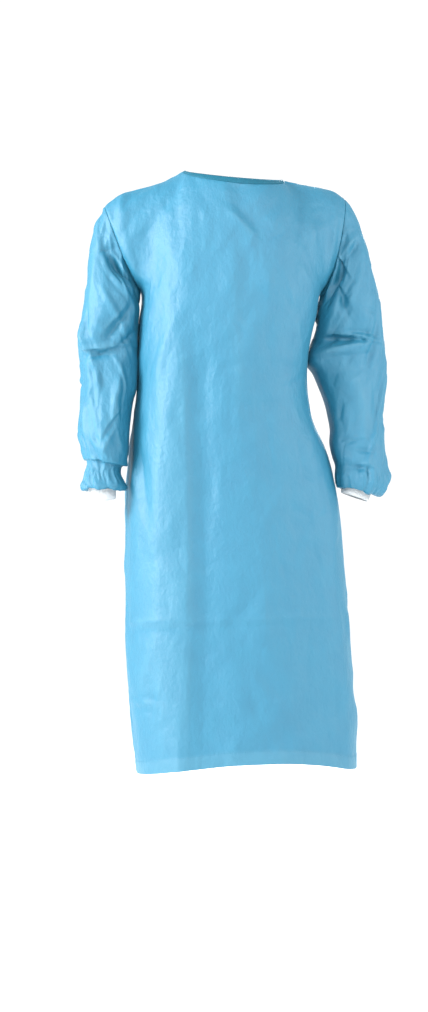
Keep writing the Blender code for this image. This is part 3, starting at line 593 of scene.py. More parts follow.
def crease_rise(rows, columns, sideways, up):
    """How far a table of creases pushes the cloth out."""
    rise = 0
    for crease, along, off in marks(rows, columns, sideways, up):
        along = along / crease["half_length"]
        bend = CREASE_BEND * along**2 * crease["half_length"] / crease["half_width"]
        off = off / crease["half_width"] + bend
        rise = rise + crease["rise"] * np.exp(-np.abs(along) ** 2.4 - np.abs(off) ** 1.35)
    return rise


def fold_rise(rows, columns, sideways, up):
    """How far a table of folds pushes the cloth: out above each fold's line, and in just below it."""
    rise = 0
    for fold, along, off in marks(rows, columns, sideways, up):
        along = along / fold["half_length"]
        off = off + FOLD_BEND * fold["half_length"] * along**2
        above = smoothstep(-FOLD_EDGE, FOLD_EDGE, off) * 2 - 1
        rise = rise + fold["rise"] * above * np.exp(-np.abs(along) ** 2.6 - np.abs(off) / fold["half_width"])
    return rise


def crumple(random, u, v, field, around=None):
    """One field of small uneven creases all over a piece, in its own flat measures.

    Without a crispness they are flat facets that meet in sharp lines."""
    rise = np.zeros_like(u)
    rows, columns = u.shape
    for _ in range(field["count"]):
        r, c = random.integers(rows), random.integers(columns)
        angle = radians(field["slant"] + random.normal(0, field["spread"]))
        long, wide = field["length"] * random.uniform(0.4, 1.6), field["width"] * random.uniform(0.5, 1.5)
        height = field["depth"] * random.uniform(0.3, 1.0) * random.choice((-1, 1))
        a, b = u - u[r, c], v - v[r, c]
        if around is not None:
            a = (a + around / 2) % around - around / 2
        near = (np.abs(a) < 3 * long) & (np.abs(b) < 3 * long)
        a, b = a[near], b[near]
        along, off = a * cos(angle) + b * sin(angle), b * cos(angle) - a * sin(angle)
        if field["crispness"]:
            rise[near] += height * np.exp(-((along / long) ** 2) - np.abs(off / wide) ** field["crispness"])
        else:
            flank = np.clip(1 - np.sqrt(off**2 + FACET_ROUNDING**2) / wide, 0, 1)
            rise[near] += height * flank * np.clip(1 - (along / long) ** 2, 0, 1)
    return rise


def crumpled(rise, random, u, v, fields, around=None):
    for field in named(fields, CRUMPLE_COLUMNS):
        rise = rise + crumple(random, u, v, field, around)
    return rise


def puckers(along, waves, phase):
    """A wave along a seam whose pitch wanders: its length, and the wander's length and size."""
    length, wander, size = waves
    return np.sin(along / length + size * np.sin(along / wander + phase))


def seam_rise(distance, along, phase):
    """A seam's soft ridge and puckers, by the distance from it and the place along it."""
    ridge = SEAM_RIDGE * bell(distance - SEAM_RIDGE_AT, SEAM_RIDGE_WIDTH)
    pucker = puckers(along, (0.0040, 0.023, 1.7), phase) + 0.6 * np.sin(along / 0.0071 + phase)
    return ridge + PUCKER * pucker * np.exp(-distance / PUCKER_REACH) * smoothstep(0, 0.004, distance)


def linked(name, data):
    item = bpy.data.objects.new(name, data)
    bpy.context.scene.collection.objects.link(item)
    return item


def grid_faces(number):
    """The faces between the corners that a grid of numbers names."""
    corners = (number[:-1, :-1], number[:-1, 1:], number[1:, 1:], number[1:, :-1])
    return np.stack(corners, axis=-1).reshape(-1, 4)


def grid_numbers(rows, columns, closed):
    number = np.arange(rows * columns).reshape(rows, columns)
    return np.concatenate([number, number[:, :1]], axis=1) if closed else number


def shell(name, points, normals, thickness, material, closed=False, flat=None, pale=None):
    """A thin cloth shell: the grid as its outer face, an inner one behind it, and rims between them."""
    rows, columns = points.shape[:2]
    size = rows * columns
    verts = np.concatenate([points.reshape(-1, 3), (points - normals * thickness).reshape(-1, 3)])
    number = grid_numbers(rows, columns, closed)
    outer = grid_faces(number)
    faces = [outer, outer[:, ::-1] + size]
    borders = [(number[0, 1:], number[0, :-1]), (number[-1, :-1], number[-1, 1:])]
    if not closed:
        borders += [(number[:-1, 0], number[1:, 0]), (number[1:, -1], number[:-1, -1])]
    faces += [np.stack([p, q, q + size, p + size], axis=-1) for p, q in borders]
    faces = np.concatenate(faces)
    middle = outer[len(outer) // 2]
    corner = verts[middle]
    facing = np.cross(corner[1] - corner[0], corner[3] - corner[0])
    if np.dot(facing, normals.reshape(-1, 3)[middle[0]]) < 0:
        faces = faces[:, ::-1]
    item = mesh_object(name, verts, faces.tolist(), material)
    if flat is not None:
        flat = np.stack([flat[0], flat[1], np.zeros(flat[0].shape)], axis=-1).reshape(-1, 3)
        add_values(item, "cut", "FLOAT_VECTOR", "vector", np.concatenate([flat, flat + INNER_CUT]))
    if pale is not None:
        add_values(item, "pale", "FLOAT", "value", np.concatenate([pale.ravel()] * 2))
    return item


def mesh_object(name, verts, faces, material, sharp=70, facing_out=False):
    """A new object of verts and faces, with sharp edges from an angle in degrees, or from none."""
    mesh = bpy.data.meshes.new(name)
    mesh.from_pydata(np.asarray(verts).tolist(), [], faces)
    if facing_out:
        closed = bmesh.new()
        closed.from_mesh(mesh)
        bmesh.ops.recalc_face_normals(closed, faces=closed.faces)
        closed.to_mesh(mesh)
        closed.free()
    mesh.shade_smooth()
    if sharp is not None:
        mesh.set_sharp_from_angle(angle=radians(sharp))
    mesh.materials.append(material)
    return linked(name, mesh)


def add_values(item, name, kind, field, values):
    attribute = item.data.attributes.new(name, kind, "POINT")
    attribute.data.foreach_set(field, np.asarray(values, np.float32).ravel())


def painted_crest_highlight(rise):
    """How far a crease's crest is painted pale: a painted highlight."""
    return CREST_HIGHLIGHT * np.clip(rise / CREST_HIGHLIGHT_RISE, 0, 1) ** 2


def with_soft_yoke(points):
    """The grid with the shoulders' and chest's turns rounded, everywhere but at its edges."""
    soft = points.copy()
    for _ in range(YOKE_SMOOTHING):
        soft[:, 1:-1] = (soft[:, :-2] + 2 * soft[:, 1:-1] + soft[:, 2:]) / 4
    v = lengths_along(points)
    top = v[-1:] - v
    share = smoothstep(*YOKE_TOP, top) * smoothstep(*YOKE_LOW, top)
    edge = np.minimum(np.arange(points.shape[1]), np.arange(points.shape[1])[::-1])
    share = share * smoothstep(*YOKE_SIDES, edge)[None, :]
    return points + (soft - points) * share[..., None]


def body_panel(node, pitch, first_column, sign):
    """A body panel's fine grid, with its own flat measures and where its neck columns lie."""
    coarse = panel_rows(node, WALLS["cloth"])
    columns = coarse.shape[1]
    corners = []
    for column in (at - first_column for at in NECK_COLUMNS):
        if 0 < column < columns - 1:
            share = np.zeros(len(coarse))
            share[: -len(NECK_CORNER_ROWS) - 1 : -1] = NECK_CORNER_ROWS
            corners.append((column, share))
    parts = parts_for(across(coarse)[:, : BODY_GAPS + 1], pitch)
    starts = np.append(0, np.cumsum(parts))
    points = across(refined(across(coarse), parts, corners=corners))
    row_parts = list(HEM_GAP_PARTS) + [BODY_GAP_PARTS] * (BODY_GAPS - len(HEM_GAP_PARTS))
    row_parts += [YOKE_GAP_PARTS] * (len(coarse) - 1 - BODY_GAPS)
    points = with_soft_yoke(refined(points, row_parts))
    fine_columns = np.arange(points.shape[1])
    lapped = np.zeros(points.shape[1])
    if node == "back_right":
        start = starts[BACK_COLUMNS[LEFT][0]]
        lapped = smoothstep(start - 2 * LAP_BLEND, start - LAP_BLEND, fine_columns)
    if node == "back_left":
        end = starts[BACK_COLUMNS[RIGHT][1] - 1 - first_column]
        lapped = smoothstep(end + 2 * LAP_BLEND, end + LAP_BLEND, fine_columns)
    u = lengths_along(across(points)).T
    middle = int(starts[MIDDLE_COLUMN - first_column])
    return {
        "points": points,
        "normals": grid_normals(points, sign),
        "u": u - u[:, middle : middle + 1],
        "v": lengths_along(points),
        "neck": [int(starts[at - first_column]) for at in NECK_COLUMNS if 0 <= at - first_column < columns],
        "lapped": lapped,
    }


def edge_distances(u, sides):
    """Each point's distance to the nearest of a panel's edges on the given sides."""
    distances = {RIGHT: u - u[:, :1], LEFT: u[:, -1:] - u}
    return np.minimum.reduce([distances[side] for side in sides])


def hem_values(v, u, phase):
    """The hem band's rise, and how pale and how thick it is."""
    band = smoothstep(HEM_WIDTH + 0.002, HEM_WIDTH - 0.003, v)
    groove = -HEM_RISE * bell(v - HEM_WIDTH, 0.0026)
    pucker = puckers(u, (0.0052, 0.031, 1.5), phase) * bell(v - HEM_WIDTH, 0.009)
    return HEM_RISE * band + groove + PUCKER * pucker, HEM_PALE * band, CLOTH + (HEM_CLOTH - CLOTH) * band


def finished_panel(panel, plan):
    """The panel's grid with all its creases, seams and hem, its paleness (a painted highlight on crests, and
    the paler hem and lap) and its thickness.
    """
    points, normals, u, v = (panel[key] for key in ("points", "normals", "u", "v"))
    sides, seed, laps = (plan[key] for key in ("sewn", "seed", "laps"))
    facing = smoothstep(*FACING, np.abs(normals[..., 1]))
    rise = facing * crease_rise(
        plan["creases"],
        CREASE_COLUMNS,
        sideways=lambda crease: points[..., 0] - crease["x"],
        up=lambda crease: points[..., 2] - crease["z"],
    )
    # The crests are painted pale, as a painted highlight.
    pale = painted_crest_highlight(rise)
    rise = crumpled(rise, np.random.default_rng(seed), u, v, BODY_CRUMPLES)
    seam = edge_distances(u, sides)
    rise = rise * smoothstep(0, 0.012, seam) + seam_rise(seam, v, seed)
    top = v[-1:] - v
    sewn_top = np.zeros(u.shape[1])
    if RIGHT in sides:
        sewn_top[: panel["neck"][0]] = 1
    if LEFT in sides:
        sewn_top[panel["neck"][-1] + 1 :] = 1
    rise = rise * np.where(sewn_top > 0, smoothstep(0, 0.010, top), smoothstep(0.004, 0.016, top))
    rise = rise + seam_rise(top, u, seed + 1) * sewn_top
    hem_rise, hem_pale, thickness = hem_values(v, u, seed)
    rise = rise + hem_rise
    # Where the backs lie on each other, the upper one's creases only rise and the under one's only sink.
    kept = np.maximum(rise, 0) if RIGHT in laps else np.minimum(rise, 0)
    rise = rise + (kept - rise) * panel["lapped"]
    for lap in laps:
        distance = edge_distances(u, (lap,))
        band = smoothstep(0.016, 0.013, distance)
        rise = rise * smoothstep(-0.004, 0.014, distance)
        if lap == RIGHT:
            rise = rise + LAP_RISE * band * smoothstep(0.004, 0.016, top)
        pale = pale + LAP_PALE * band
    thickness = thickness + SEAM_CLOTH * np.exp(-seam / 0.004)
    shaped = with_closed_seams(points + normals * rise[..., None], normals, sides, sewn_top)
    return shaped, pale + hem_pale, thickness[..., None]


def with_closed_seams(points, normals, sides, sewn_top):
    """Each sewn edge runs on a little and turns in, so that it meets the edge sewn to it."""
    closed = points.copy()
    for side, edge, near in ((RIGHT, 0, 2), (LEFT, -1, -3)):
        if side in sides:
            way = unit(points[:, edge] - points[:, near])
            closed[:, edge] += way * SEAM_REACH - normals[:, edge] * SEAM_DIP
    reach = unit(points[-1] - points[-3]) * SEAM_REACH - normals[-1] * SEAM_DIP
    closed[-1] += reach * sewn_top[:, None]
    return closed


def held_by_tie(panel, shaped):
    """The panel's shape where the waist tie and its hanging ends keep its creases down."""
    x, z = panel["points"][..., 0], panel["points"][..., 2]
    band = smoothstep(*UNDER_TIE, np.abs(z - KNOT_HEIGHT))
    ends = smoothstep(*UNDER_ENDS, np.abs(x)) * smoothstep(ENDS_LOW - 0.03, ENDS_LOW, z) * (z < KNOT_HEIGHT)
    hold = np.maximum(band, ends)[..., None]
    rise = ((shaped - panel["points"]) * panel["normals"]).sum(axis=-1, keepdims=True)
    return shaped - panel["normals"] * np.maximum(rise, 0) * hold


def sleeve_grid(side):
    """A sleeve's fine grid and, for each point, how far round and how far along it lies."""
    coarse = tube_rows("sleeve_" + SIDE_NAMES[side], WALLS["cloth"], side, start=lambda vert: vert.co.z)
    waves = np.fft.rfft(coarse[-END_ROWS[side] :], axis=1)
    waves[:, SMOOTH_WAVES + 1 :] = 0
    coarse[-END_ROWS[side] :] = np.fft.irfft(waves, coarse.shape[1], axis=1)
    around = across(refined(across(coarse), [SLEEVE_PARTS] * coarse.shape[1], closed=True))
    parts = parts_for(coarse, SLEEVE_ROW_PITCH)
    points = refined(around, parts)
    ends = int(sum(parts[: len(parts) - END_ROWS[side] + 1]))
    return points, ends


def finished_sleeve(side):
    """A sleeve's creased grid, with its normals, thickness, flat measures and paleness, a painted highlight
    on its crests.
    """
    points, ends = sleeve_grid(side)
    normals = grid_normals(points, -side, closed=True)
    rows, columns = points.shape[:2]
    turn = np.tile(np.arange(columns) / columns * 360, (rows, 1))
    v = lengths_along(points)
    girth = np.linalg.norm(np.roll(points, -1, axis=1) - points, axis=-1).sum(axis=1)[rows // 3]
    u = turn / 360 * girth
    places = {
        "columns": SLEEVE_CREASE_COLUMNS,
        "sideways": lambda mark: np.radians(turned(turn, mark["turn"])) * SLEEVE_RADIUS,
        "up": lambda mark: points[..., 2] - mark["z"],
    }
    rise = crease_rise(SLEEVE_CREASES[side], **places) + fold_rise(FOLDS[side], **places)
    # The crests are painted pale, as a painted highlight.
    pale = painted_crest_highlight(rise)
    random = np.random.default_rng(40 + side)
    rise = crumpled(rise, random, u, v, SLEEVE_CRUMPLES, around=u[0].max())
    # The inner side lies close to the body, so its creases only go inwards.
    inner = bell(turned(turn, 180), INNER_SIDE) * smoothstep(*INNER_TOP, points[..., 2])
    rise = np.where(rise > 0, rise * (1 - inner), rise * (1 - 0.5 * inner))
    rise = rise * smoothstep(0, 0.014, v) + seam_rise(v, u, 3.0 + side)
    under_seam = np.abs(turn - 180) / 360 * u[0].max()
    rise = rise + 0.4 * seam_rise(under_seam, v, 5.0) * (1 - inner)
    share = np.append(np.full(ends, -1.0), np.linspace(0, 1, rows - ends))[:, None]
    rise = rise * smoothstep(1.0, 0.80, share) + gathers(random, turn, share, side)
    thickness = (CLOTH + SEAM_CLOTH * np.exp(-v / 0.004))[..., None]
    return points + normals * rise[..., None], normals, thickness, u, v, pale


def gathers(random, turn, share, side):
    """Uneven gathers round a sleeve's end, which start and stop at their own places along it."""
    rise = np.zeros(turn.shape)
    at = 0.0
    while at < 360:
        at += random.uniform(*GATHER_STEP)
        wide, lean = random.uniform(*GATHER_WIDTH), random.uniform(*GATHER_LEAN)
        height = random.uniform(*GATHER_HEIGHT) * random.choice((-0.8, 1, 1))
        low = random.uniform(GATHERS_START[side], GATHERS_START[side] + 0.14)
        high = random.uniform(*GATHER_END)
        off = turned(turn, at + lean * share) / wide
        length = smoothstep(low, low + 0.12, share) * smoothstep(high + 0.14, high, share)
        rise += height * np.exp(-np.abs(off) ** 1.6) * length
    return rise


def finished_cuff(side):
    """A knit cuff's ribbed grid, with its normals and flat measures."""
    coarse = tube_rows("cuff_" + SIDE_NAMES[side], WALLS["knit"], side, start=lambda vert: vert.co.x * side)
    smooth = across(refined(across(coarse), [CUFF_PARTS] * coarse.shape[1], closed=True))
    count = RIBS * RIB_PARTS
    at = np.arange(count) / count * smooth.shape[1]
    low = at.astype(int)
    high = (low + 1) % smooth.shape[1]
    part = (at - low)[None, :, None]
    rings = smooth[:, low] * (1 - part) + smooth[:, high] * part
    down = np.linspace(0, 1, CUFF_ROWS)[:, None]
    points = rings[0] * (1 - down[..., None]) + rings[-1] * down[..., None]
    turn = (np.arange(count) / count * 2 * pi)[None, :]
    points[..., 2] -= CUFF_DROP[side] * (1 + np.cos(turn)) / 2 * down
    normals = grid_normals(points, -side, closed=True)
    wave = np.cos(turn * RIBS)
    rib = RIB_DEPTH * (np.sign(wave) * np.abs(wave) ** 0.7 - 1)
    droop = CUFF_DROOP * np.sin(turn * 3 + 1.0) * down**3
    rise = rib + droop - CUFF_ROLL * smoothstep(0.90, 1.0, down)
    u = np.tile(np.arange(count) * 0.0005, (CUFF_ROWS, 1))
    return points + normals * rise[..., None], normals, u, lengths_along(points)


def read_at(place, lengths, values):
    """The three values at a place along a line."""
    return np.array([np.interp(place, lengths, values[:, axis]) for axis in range(3)])


def down_column(points, normals, distance):
    """The place and the normal a given distance down each column from its first point."""
    steps = lengths_along(points)
    columns = range(points.shape[1])
    places = np.array([read_at(distance, steps[:, column], points[:, column]) for column in columns])
    facings = np.array([read_at(distance, steps[:, column], normals[:, column]) for column in columns])
    return places, unit(facings)


def binding_section():
    """The binding's section: distance down from the cloth's edge, and height off the cloth's outer face."""
    lift, thick, width = BINDING_LIFT, BINDING_CLOTH, BINDING_WIDTH
    outer = [
        (width, lift),
        (width + 0.0003, lift + 0.5 * thick),
        (width - 0.0003, lift + 1.5 * thick),
        (width - 0.0014, lift + 1.6 * thick),
        BINDING_GROOVE,
        (width * 0.55, lift + 1.5 * thick),
        (width * 0.25, lift + 1.6 * thick),
        (0.0, lift + 1.3 * thick),
        (-0.0008, lift + 0.4 * thick),
    ]
    inner = [(along, -CLOTH - height) for along, height in reversed(outer)]
    back = [(along, -CLOTH - 0.9 * lift) for along in (width * 0.5, 0.0003)]
    front = [(along, 0.9 * lift) for along in (0.0003, width * 0.5)]
    return outer + inner + back + front


def neck_binding(front, under, upper, material):
    """The bias strip folded over the neck's edge, from the under back round the front to the upper one.

    It comes with its groove's line, where it is stitched."""
    stretches = [
        (under, range(under["points"].shape[1] - 1, under["neck"][0], -1)),
        (front, range(front["neck"][0], front["neck"][1] + 1)),
        (upper, range(upper["neck"][-1], -1, -1)),
    ]
    section = binding_section()
    rings = []
    for panel, columns in stretches:
        points = panel["shaped"][::-1][:, list(columns)]
        normals = panel["normals"][::-1][:, list(columns)]
        above = unit(points[0] - down_column(points, normals, 0.004)[0])
        lines = []
        for along, height in section:
            place, facing = down_column(points, normals, max(along, 0.0))
            line = place + facing * height
            if along < 0:
                line = line - above * along
            lines.append(line)
        rings.append(np.stack(lines, axis=1))
    grid = np.concatenate(rings)
    for _ in range(2):
        grid[1:-1] = (grid[:-2] + 2 * grid[1:-1] + grid[2:]) / 4
    number = grid_numbers(*grid.shape[:2], closed=True)
    faces = grid_faces(number).tolist() + [number[0, -2::-1].tolist(), number[-1, :-1].tolist()]
    item = mesh_object("neck_binding_strip", grid.reshape(-1, 3), faces, material, sharp=75, facing_out=True)
    at = section.index(BINDING_GROOVE)
    facing = unit(np.cross(np.gradient(grid[:, at], axis=0), grid[:, at + 1] - grid[:, at - 1]))
    outward = ((grid[:, at] - grid.mean(axis=1)) * facing).sum()
    return item, (grid[:, at], facing * np.sign(outward))


def stitches(name, lines, material):
    """Rows of short thread stitches along lines, each with its cloth's normals."""
    verts, faces = [], []
    sides = STITCH_SIDES
    turn = np.arange(sides) / sides * 2 * pi
    for points, normals in lines:
        length = np.append(0, np.cumsum(np.linalg.norm(np.diff(points, axis=0), axis=1)))
        for start in np.arange(STITCH_PITCH, length[-1] - STITCH_PITCH, STITCH_PITCH):
            near, far = (read_at(start + step, length, points) for step in (0, STITCH_LENGTH))
            facing = unit(read_at(start, length, normals))
            sideways = np.cross(unit(far - near), facing)
            first = len(verts)
            for share, radius, lift in STITCH_RINGS:
                centre = near + (far - near) * share + facing * STITCH_RADIUS * lift
                ring = np.cos(turn)[:, None] * sideways + np.sin(turn)[:, None] * facing
                verts += (centre + ring * STITCH_RADIUS * radius).tolist()
            number = first + grid_numbers(len(STITCH_RINGS), sides, closed=True)
            faces += grid_faces(number).tolist() + [number[0, -2::-1].tolist(), number[-1, :-1].tolist()]
    return mesh_object(name, verts, faces, material, sharp=None, facing_out=True)


def side_line(panel, side, distance):
    """A line up the panel at one distance from its edge."""
    points, normals = across(panel["shaped"]), across(panel["normals"])
    if side == LEFT:
        points, normals = points[::-1], normals[::-1]
    return down_column(points, normals, distance)


def tape(name, coarse, across_parts, along_parts, material, phase, knot):
    """A flat tape on its solid's two edges: folded edges, a stitched line near each, a soft wave.

    Near the knot it is drawn together and runs into it."""
    share = (np.arange(across_parts + 1) / across_parts)[:, None, None]
    points = coarse[0] * (1 - share) + coarse[1] * share
    points = across(refined(across(points), [along_parts] * (coarse.shape[1] - 1)))
    middle = points.mean(axis=0)
    away = np.linalg.norm(middle - knot, axis=-1)
    width = (0.5 + 0.5 * smoothstep(0.016, 0.052, away))[None, :, None]
    pull = (KNOT_REACH * smoothstep(0.050, 0.020, away))[:, None] * unit(knot - middle)
    pull[:, 1] = 0
    points = middle + (points - middle) * width + pull
    normals = grid_normals(points, 1)
    if normals[..., 1].mean() < 0:
        normals = -normals
    rows, columns = points.shape[:2]
    share = np.linspace(-1, 1, rows)[:, None]
    place = np.linspace(0, 1, columns)[None, :]
    edge = TAPE_EDGE * (bell(np.abs(share) - 0.90, 0.07) - bell(np.abs(share) - 0.78, 0.05))
    wave = 0.0007 * np.sin(place * 17 + 2.2 * share + phase)
    wave = wave + 0.0006 * np.sin(place * 29 - 1.4 * share + phase)
    rise = edge + wave * smoothstep(0, 0.12, place) * smoothstep(1, 0.88, place)
    pleats = TAPE_PLEAT * np.cos(7 * share + phase) * smoothstep(0.060, 0.026, away)[None, :]
    points = points + normals * (rise + pleats)[..., None]
    flat = (np.tile(np.linspace(0, 0.02, rows)[:, None], (1, columns)), lengths_along(across(points)).T)
    pale = np.full((rows, columns), TAPE_PALE)
    item = shell(name, points, normals, TAPE_CLOTH, material, flat=flat, pale=pale)
    return item, [(points[row], normals[row]) for row in (1, rows - 2)]


def knot_wrap(name, centre, radii, tilt, width, material, phase):
    """One turn of tape round the knot: a flat loop whose face is drawn into small pleats."""
    around, wide = 72, 15
    turn = np.arange(around) / around * 2 * pi
    share = np.linspace(-1, 1, wide)
    slope = radians(tilt)
    ahead = np.array([sin(slope), 0, cos(slope)])
    side = np.array([cos(slope), 0, -sin(slope)])
    out = np.array([0.0, 1.0, 0.0])
    ring = []
    for s in share:
        pinch = 1 - 0.22 * s * s
        pleat = 0.0006 * np.cos(2.6 * pi * s + 2 * np.sin(turn + phase))
        ring.append(
            centre
            + np.outer(np.cos(turn) * (radii[0] * pinch + pleat), ahead)
            + np.outer(np.sin(turn) * (radii[1] * pinch + pleat), out)
            + side * s * width / 2 * (0.82 + 0.18 * np.abs(np.sin(turn)))[:, None]
        )
    points = np.array(ring)
    normals = grid_normals(points, 1, closed=True)
    if (normals * (points - centre)).sum() < 0:
        normals = -normals
    flat = (np.tile(share[:, None] * 0.01, (1, around)), np.tile(turn[None, :] * 0.012, (wide, 1)))
    pale = np.full((wide, around), TAPE_PALE)
    return shell(name, points, normals, TAPE_CLOTH, material, closed=True, flat=flat, pale=pale)


def node(tree, kind, inputs=None, **settings):
    made = tree.nodes.new(kind)
    for key, value in settings.items():
        setattr(made, key, value)
    for key, value in (inputs or {}).items():
        if isinstance(value, bpy.types.NodeSocket):
            tree.links.new(value, made.inputs[key])
        else:
            made.inputs[key].default_value = value
    return made


def attribute(tree, name, output):
    return node(tree, "ShaderNodeAttribute", attribute_name=name).outputs[output]


def object_place(tree):
    return node(tree, "ShaderNodeTexCoord").outputs["Object"]


def noise(tree, vector, scale, detail=3.0, roughness=0.5):
    inputs = {"Vector": vector, "Scale": scale, "Detail": detail, "Roughness": roughness}
    return node(tree, "ShaderNodeTexNoise", inputs).outputs["Fac"]


def wave(tree, vector, scale, direction, distortion=0.0):
    inputs = {"Vector": vector, "Scale": scale, "Distortion": distortion}
    return node(tree, "ShaderNodeTexWave", inputs, bands_direction=direction).outputs["Fac"]


def arithmetic(tree, operation, first, second):
    return node(tree, "ShaderNodeMath", {0: first, 1: second}, operation=operation).outputs[0]


def weighted(tree, *fields):
    """The sum of some fields, each times its own weight."""
    total = None
    for field, weight in fields:
        part = arithmetic(tree, "MULTIPLY", field, weight)
        total = part if total is None else arithmetic(tree, "ADD", total, part)
    return total


def mixed(tree, share, first, second):
    """A colour between two others, each a socket or three numbers."""
    first, second = (end if isinstance(end, bpy.types.NodeSocket) else (*end, 1) for end in (first, second))
    inputs = {"Factor": share, "A": first, "B": second}
    return node(tree, "ShaderNodeMix", inputs, data_type="RGBA").outputs[2]


def bumped(tree, shader, *layers):
    """Gives the shader a normal from layers of bumps, each a strength, a distance and a height."""
    inputs = {}
    for strength, distance, height in layers:
        inputs = {**inputs, "Strength": strength, "Distance": distance, "Height": height}
        inputs["Normal"] = node(tree, "ShaderNodeBump", inputs).outputs[0]
    tree.links.new(inputs["Normal"], shader.inputs["Normal"])


def start_material(name, colour, roughness, sheen, gloss=0.5):
    material = bpy.data.materials.new(name)
    material.use_nodes = True
    tree = material.node_tree
    shader = tree.nodes["Principled BSDF"]
    shader.inputs["Base Color"].default_value = (*colour, 1.0)
    shader.inputs["Roughness"].default_value = roughness
    shader.inputs["Metallic"].default_value = 0.0
    shader.inputs["Sheen Weight"].default_value = sheen
    shader.inputs["Sheen Roughness"].default_value = 0.45
    shader.inputs["Sheen Tint"].default_value = (0.25, 0.75, 1.0, 1.0)
    shader.inputs["Specular IOR Level"].default_value = gloss
    return material, tree, shader


def stretched(tree, vector, factors, turn=0.0):
    made = node(tree, "ShaderNodeMapping", {"Vector": vector, "Scale": factors, "Rotation": (0, 0, turn)})
    return made.outputs[0]


def nonwoven(name, dark, light, pale, roughness, sheen, gloss):
    """Spunbonded cloth: a fine field of bond points, loose fibres, a soft mottle, crests painted pale as a
    painted highlight, and a paler hem, lap and tapes.
    """
    material, tree, shader = start_material(name, light, roughness, sheen, gloss)
    flat = attribute(tree, "cut", "Vector")
    place = object_place(tree)
    mottle = noise(tree, stretched(tree, place, (1, 1, 0.6)), 42.0, 4.0, 0.6)
    cloudy = noise(tree, place, 7.0, 2.0)
    fibres = noise(tree, stretched(tree, flat, (1, 0.22, 1), 0.2), 1500.0, 2.0, 0.7)
    cross_fibres = noise(tree, stretched(tree, flat, (0.25, 1, 1), -0.25), 1300.0, 2.0, 0.7)
    both = arithmetic(tree, "MULTIPLY", fibres, cross_fibres)
    colour = mixed(tree, weighted(tree, (mottle, 0.55), (cloudy, 0.25), (both, 0.8)), dark, light)
    uneven = arithmetic(tree, "ADD", mottle, 0.25)
    # The pale colour: a painted highlight on crests, and the paler tone of the hem, lap and tapes.
    highlight_and_tone_share = arithmetic(tree, "MULTIPLY", attribute(tree, "pale", "Fac"), uneven)
    tree.links.new(mixed(tree, highlight_and_tone_share, colour, pale), shader.inputs["Base Color"])
    cells = {"Vector": stretched(tree, flat, (1, 1.3, 1), pi / 4), "Scale": 620.0, "Randomness": 0.0}
    bonds = node(tree, "ShaderNodeTexVoronoi", cells).outputs["Distance"]
    bonds = node(tree, "ShaderNodeMapRange", {"Value": bonds, "From Min": 0.18, "From Max": 0.42}).outputs[0]
    crumb = noise(tree, stretched(tree, place, (1, 1, 0.7)), 130.0, 3.0, 0.55)
    layers = ((0.55, 0.0022, crumb), (0.5, 0.004, mottle), (0.5, 0.0002, both), (0.4, 0.0002, bonds))
    bumped(tree, shader, *layers)
    return material


def rib_knit(name, shade, light):
    """Rib knit: columns of small loops on the raised ribs, with painted shade between the loops and a random
    fuzz.
    """
    material, tree, shader = start_material(name, light, 0.85, 0.35)
    flat = attribute(tree, "cut", "Vector")
    loops = wave(tree, stretched(tree, flat, (1, 1, 1), 0.6), 210.0, "Y", 1.2)
    fuzz = noise(tree, object_place(tree), 900.0, 3.0, 0.7)
    # The loops' wave paints shade between them; the fuzz varies the tone at random.
    share = weighted(tree, (loops, 0.5), (fuzz, 0.6))
    tree.links.new(mixed(tree, share, shade, light), shader.inputs["Base Color"])
    bumped(tree, shader, (0.7, 0.0004, loops), (0.4, 0.0002, fuzz))
    return material


def bias_tape(name, dark, light):
    """Smooth bias tape with a fine diagonal weave."""
    material, tree, shader = start_material(name, light, 0.6, 0.03, gloss=0.3)
    place = object_place(tree)
    weave = wave(tree, place, 420.0, "DIAGONAL", 0.6)
    mottle = noise(tree, place, 120.0, 3.0)
    share = weighted(tree, (weave, 0.3), (mottle, 0.7))
    tree.links.new(mixed(tree, share, dark, light), shader.inputs["Base Color"])
    bumped(tree, shader, (0.4, 0.0002, weave), (0.5, 0.0010, mottle))
    return material


def thread_material(name, colour):
    """Twisted thread, with painted shade in the grooves between its turns."""
    material, tree, shader = start_material(name, colour, 0.5, 0.2)
    twist = wave(tree, object_place(tree), 900.0, "DIAGONAL")
    # Painted shade between the thread's turns.
    dark = tuple(part * 0.75 for part in colour)
    tree.links.new(mixed(tree, twist, dark, colour), shader.inputs["Base Color"])
    return material


def settle(piece, node_name):
    """Hangs a piece on the root, and hides the node it stands for, if any."""
    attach(piece, "root")
    if node_name:
        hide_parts(node_name)


def area_light(name, place, size, power):
    light = bpy.data.lights.new(name, "AREA")
    light.shape = "DISK"
    light.size = size
    light.energy = power
    item = linked(name, light)
    item.location = place
    item.rotation_euler = (Vector(LIGHTS_AIM) - Vector(place)).to_track_quat("-Z", "Y").to_euler()


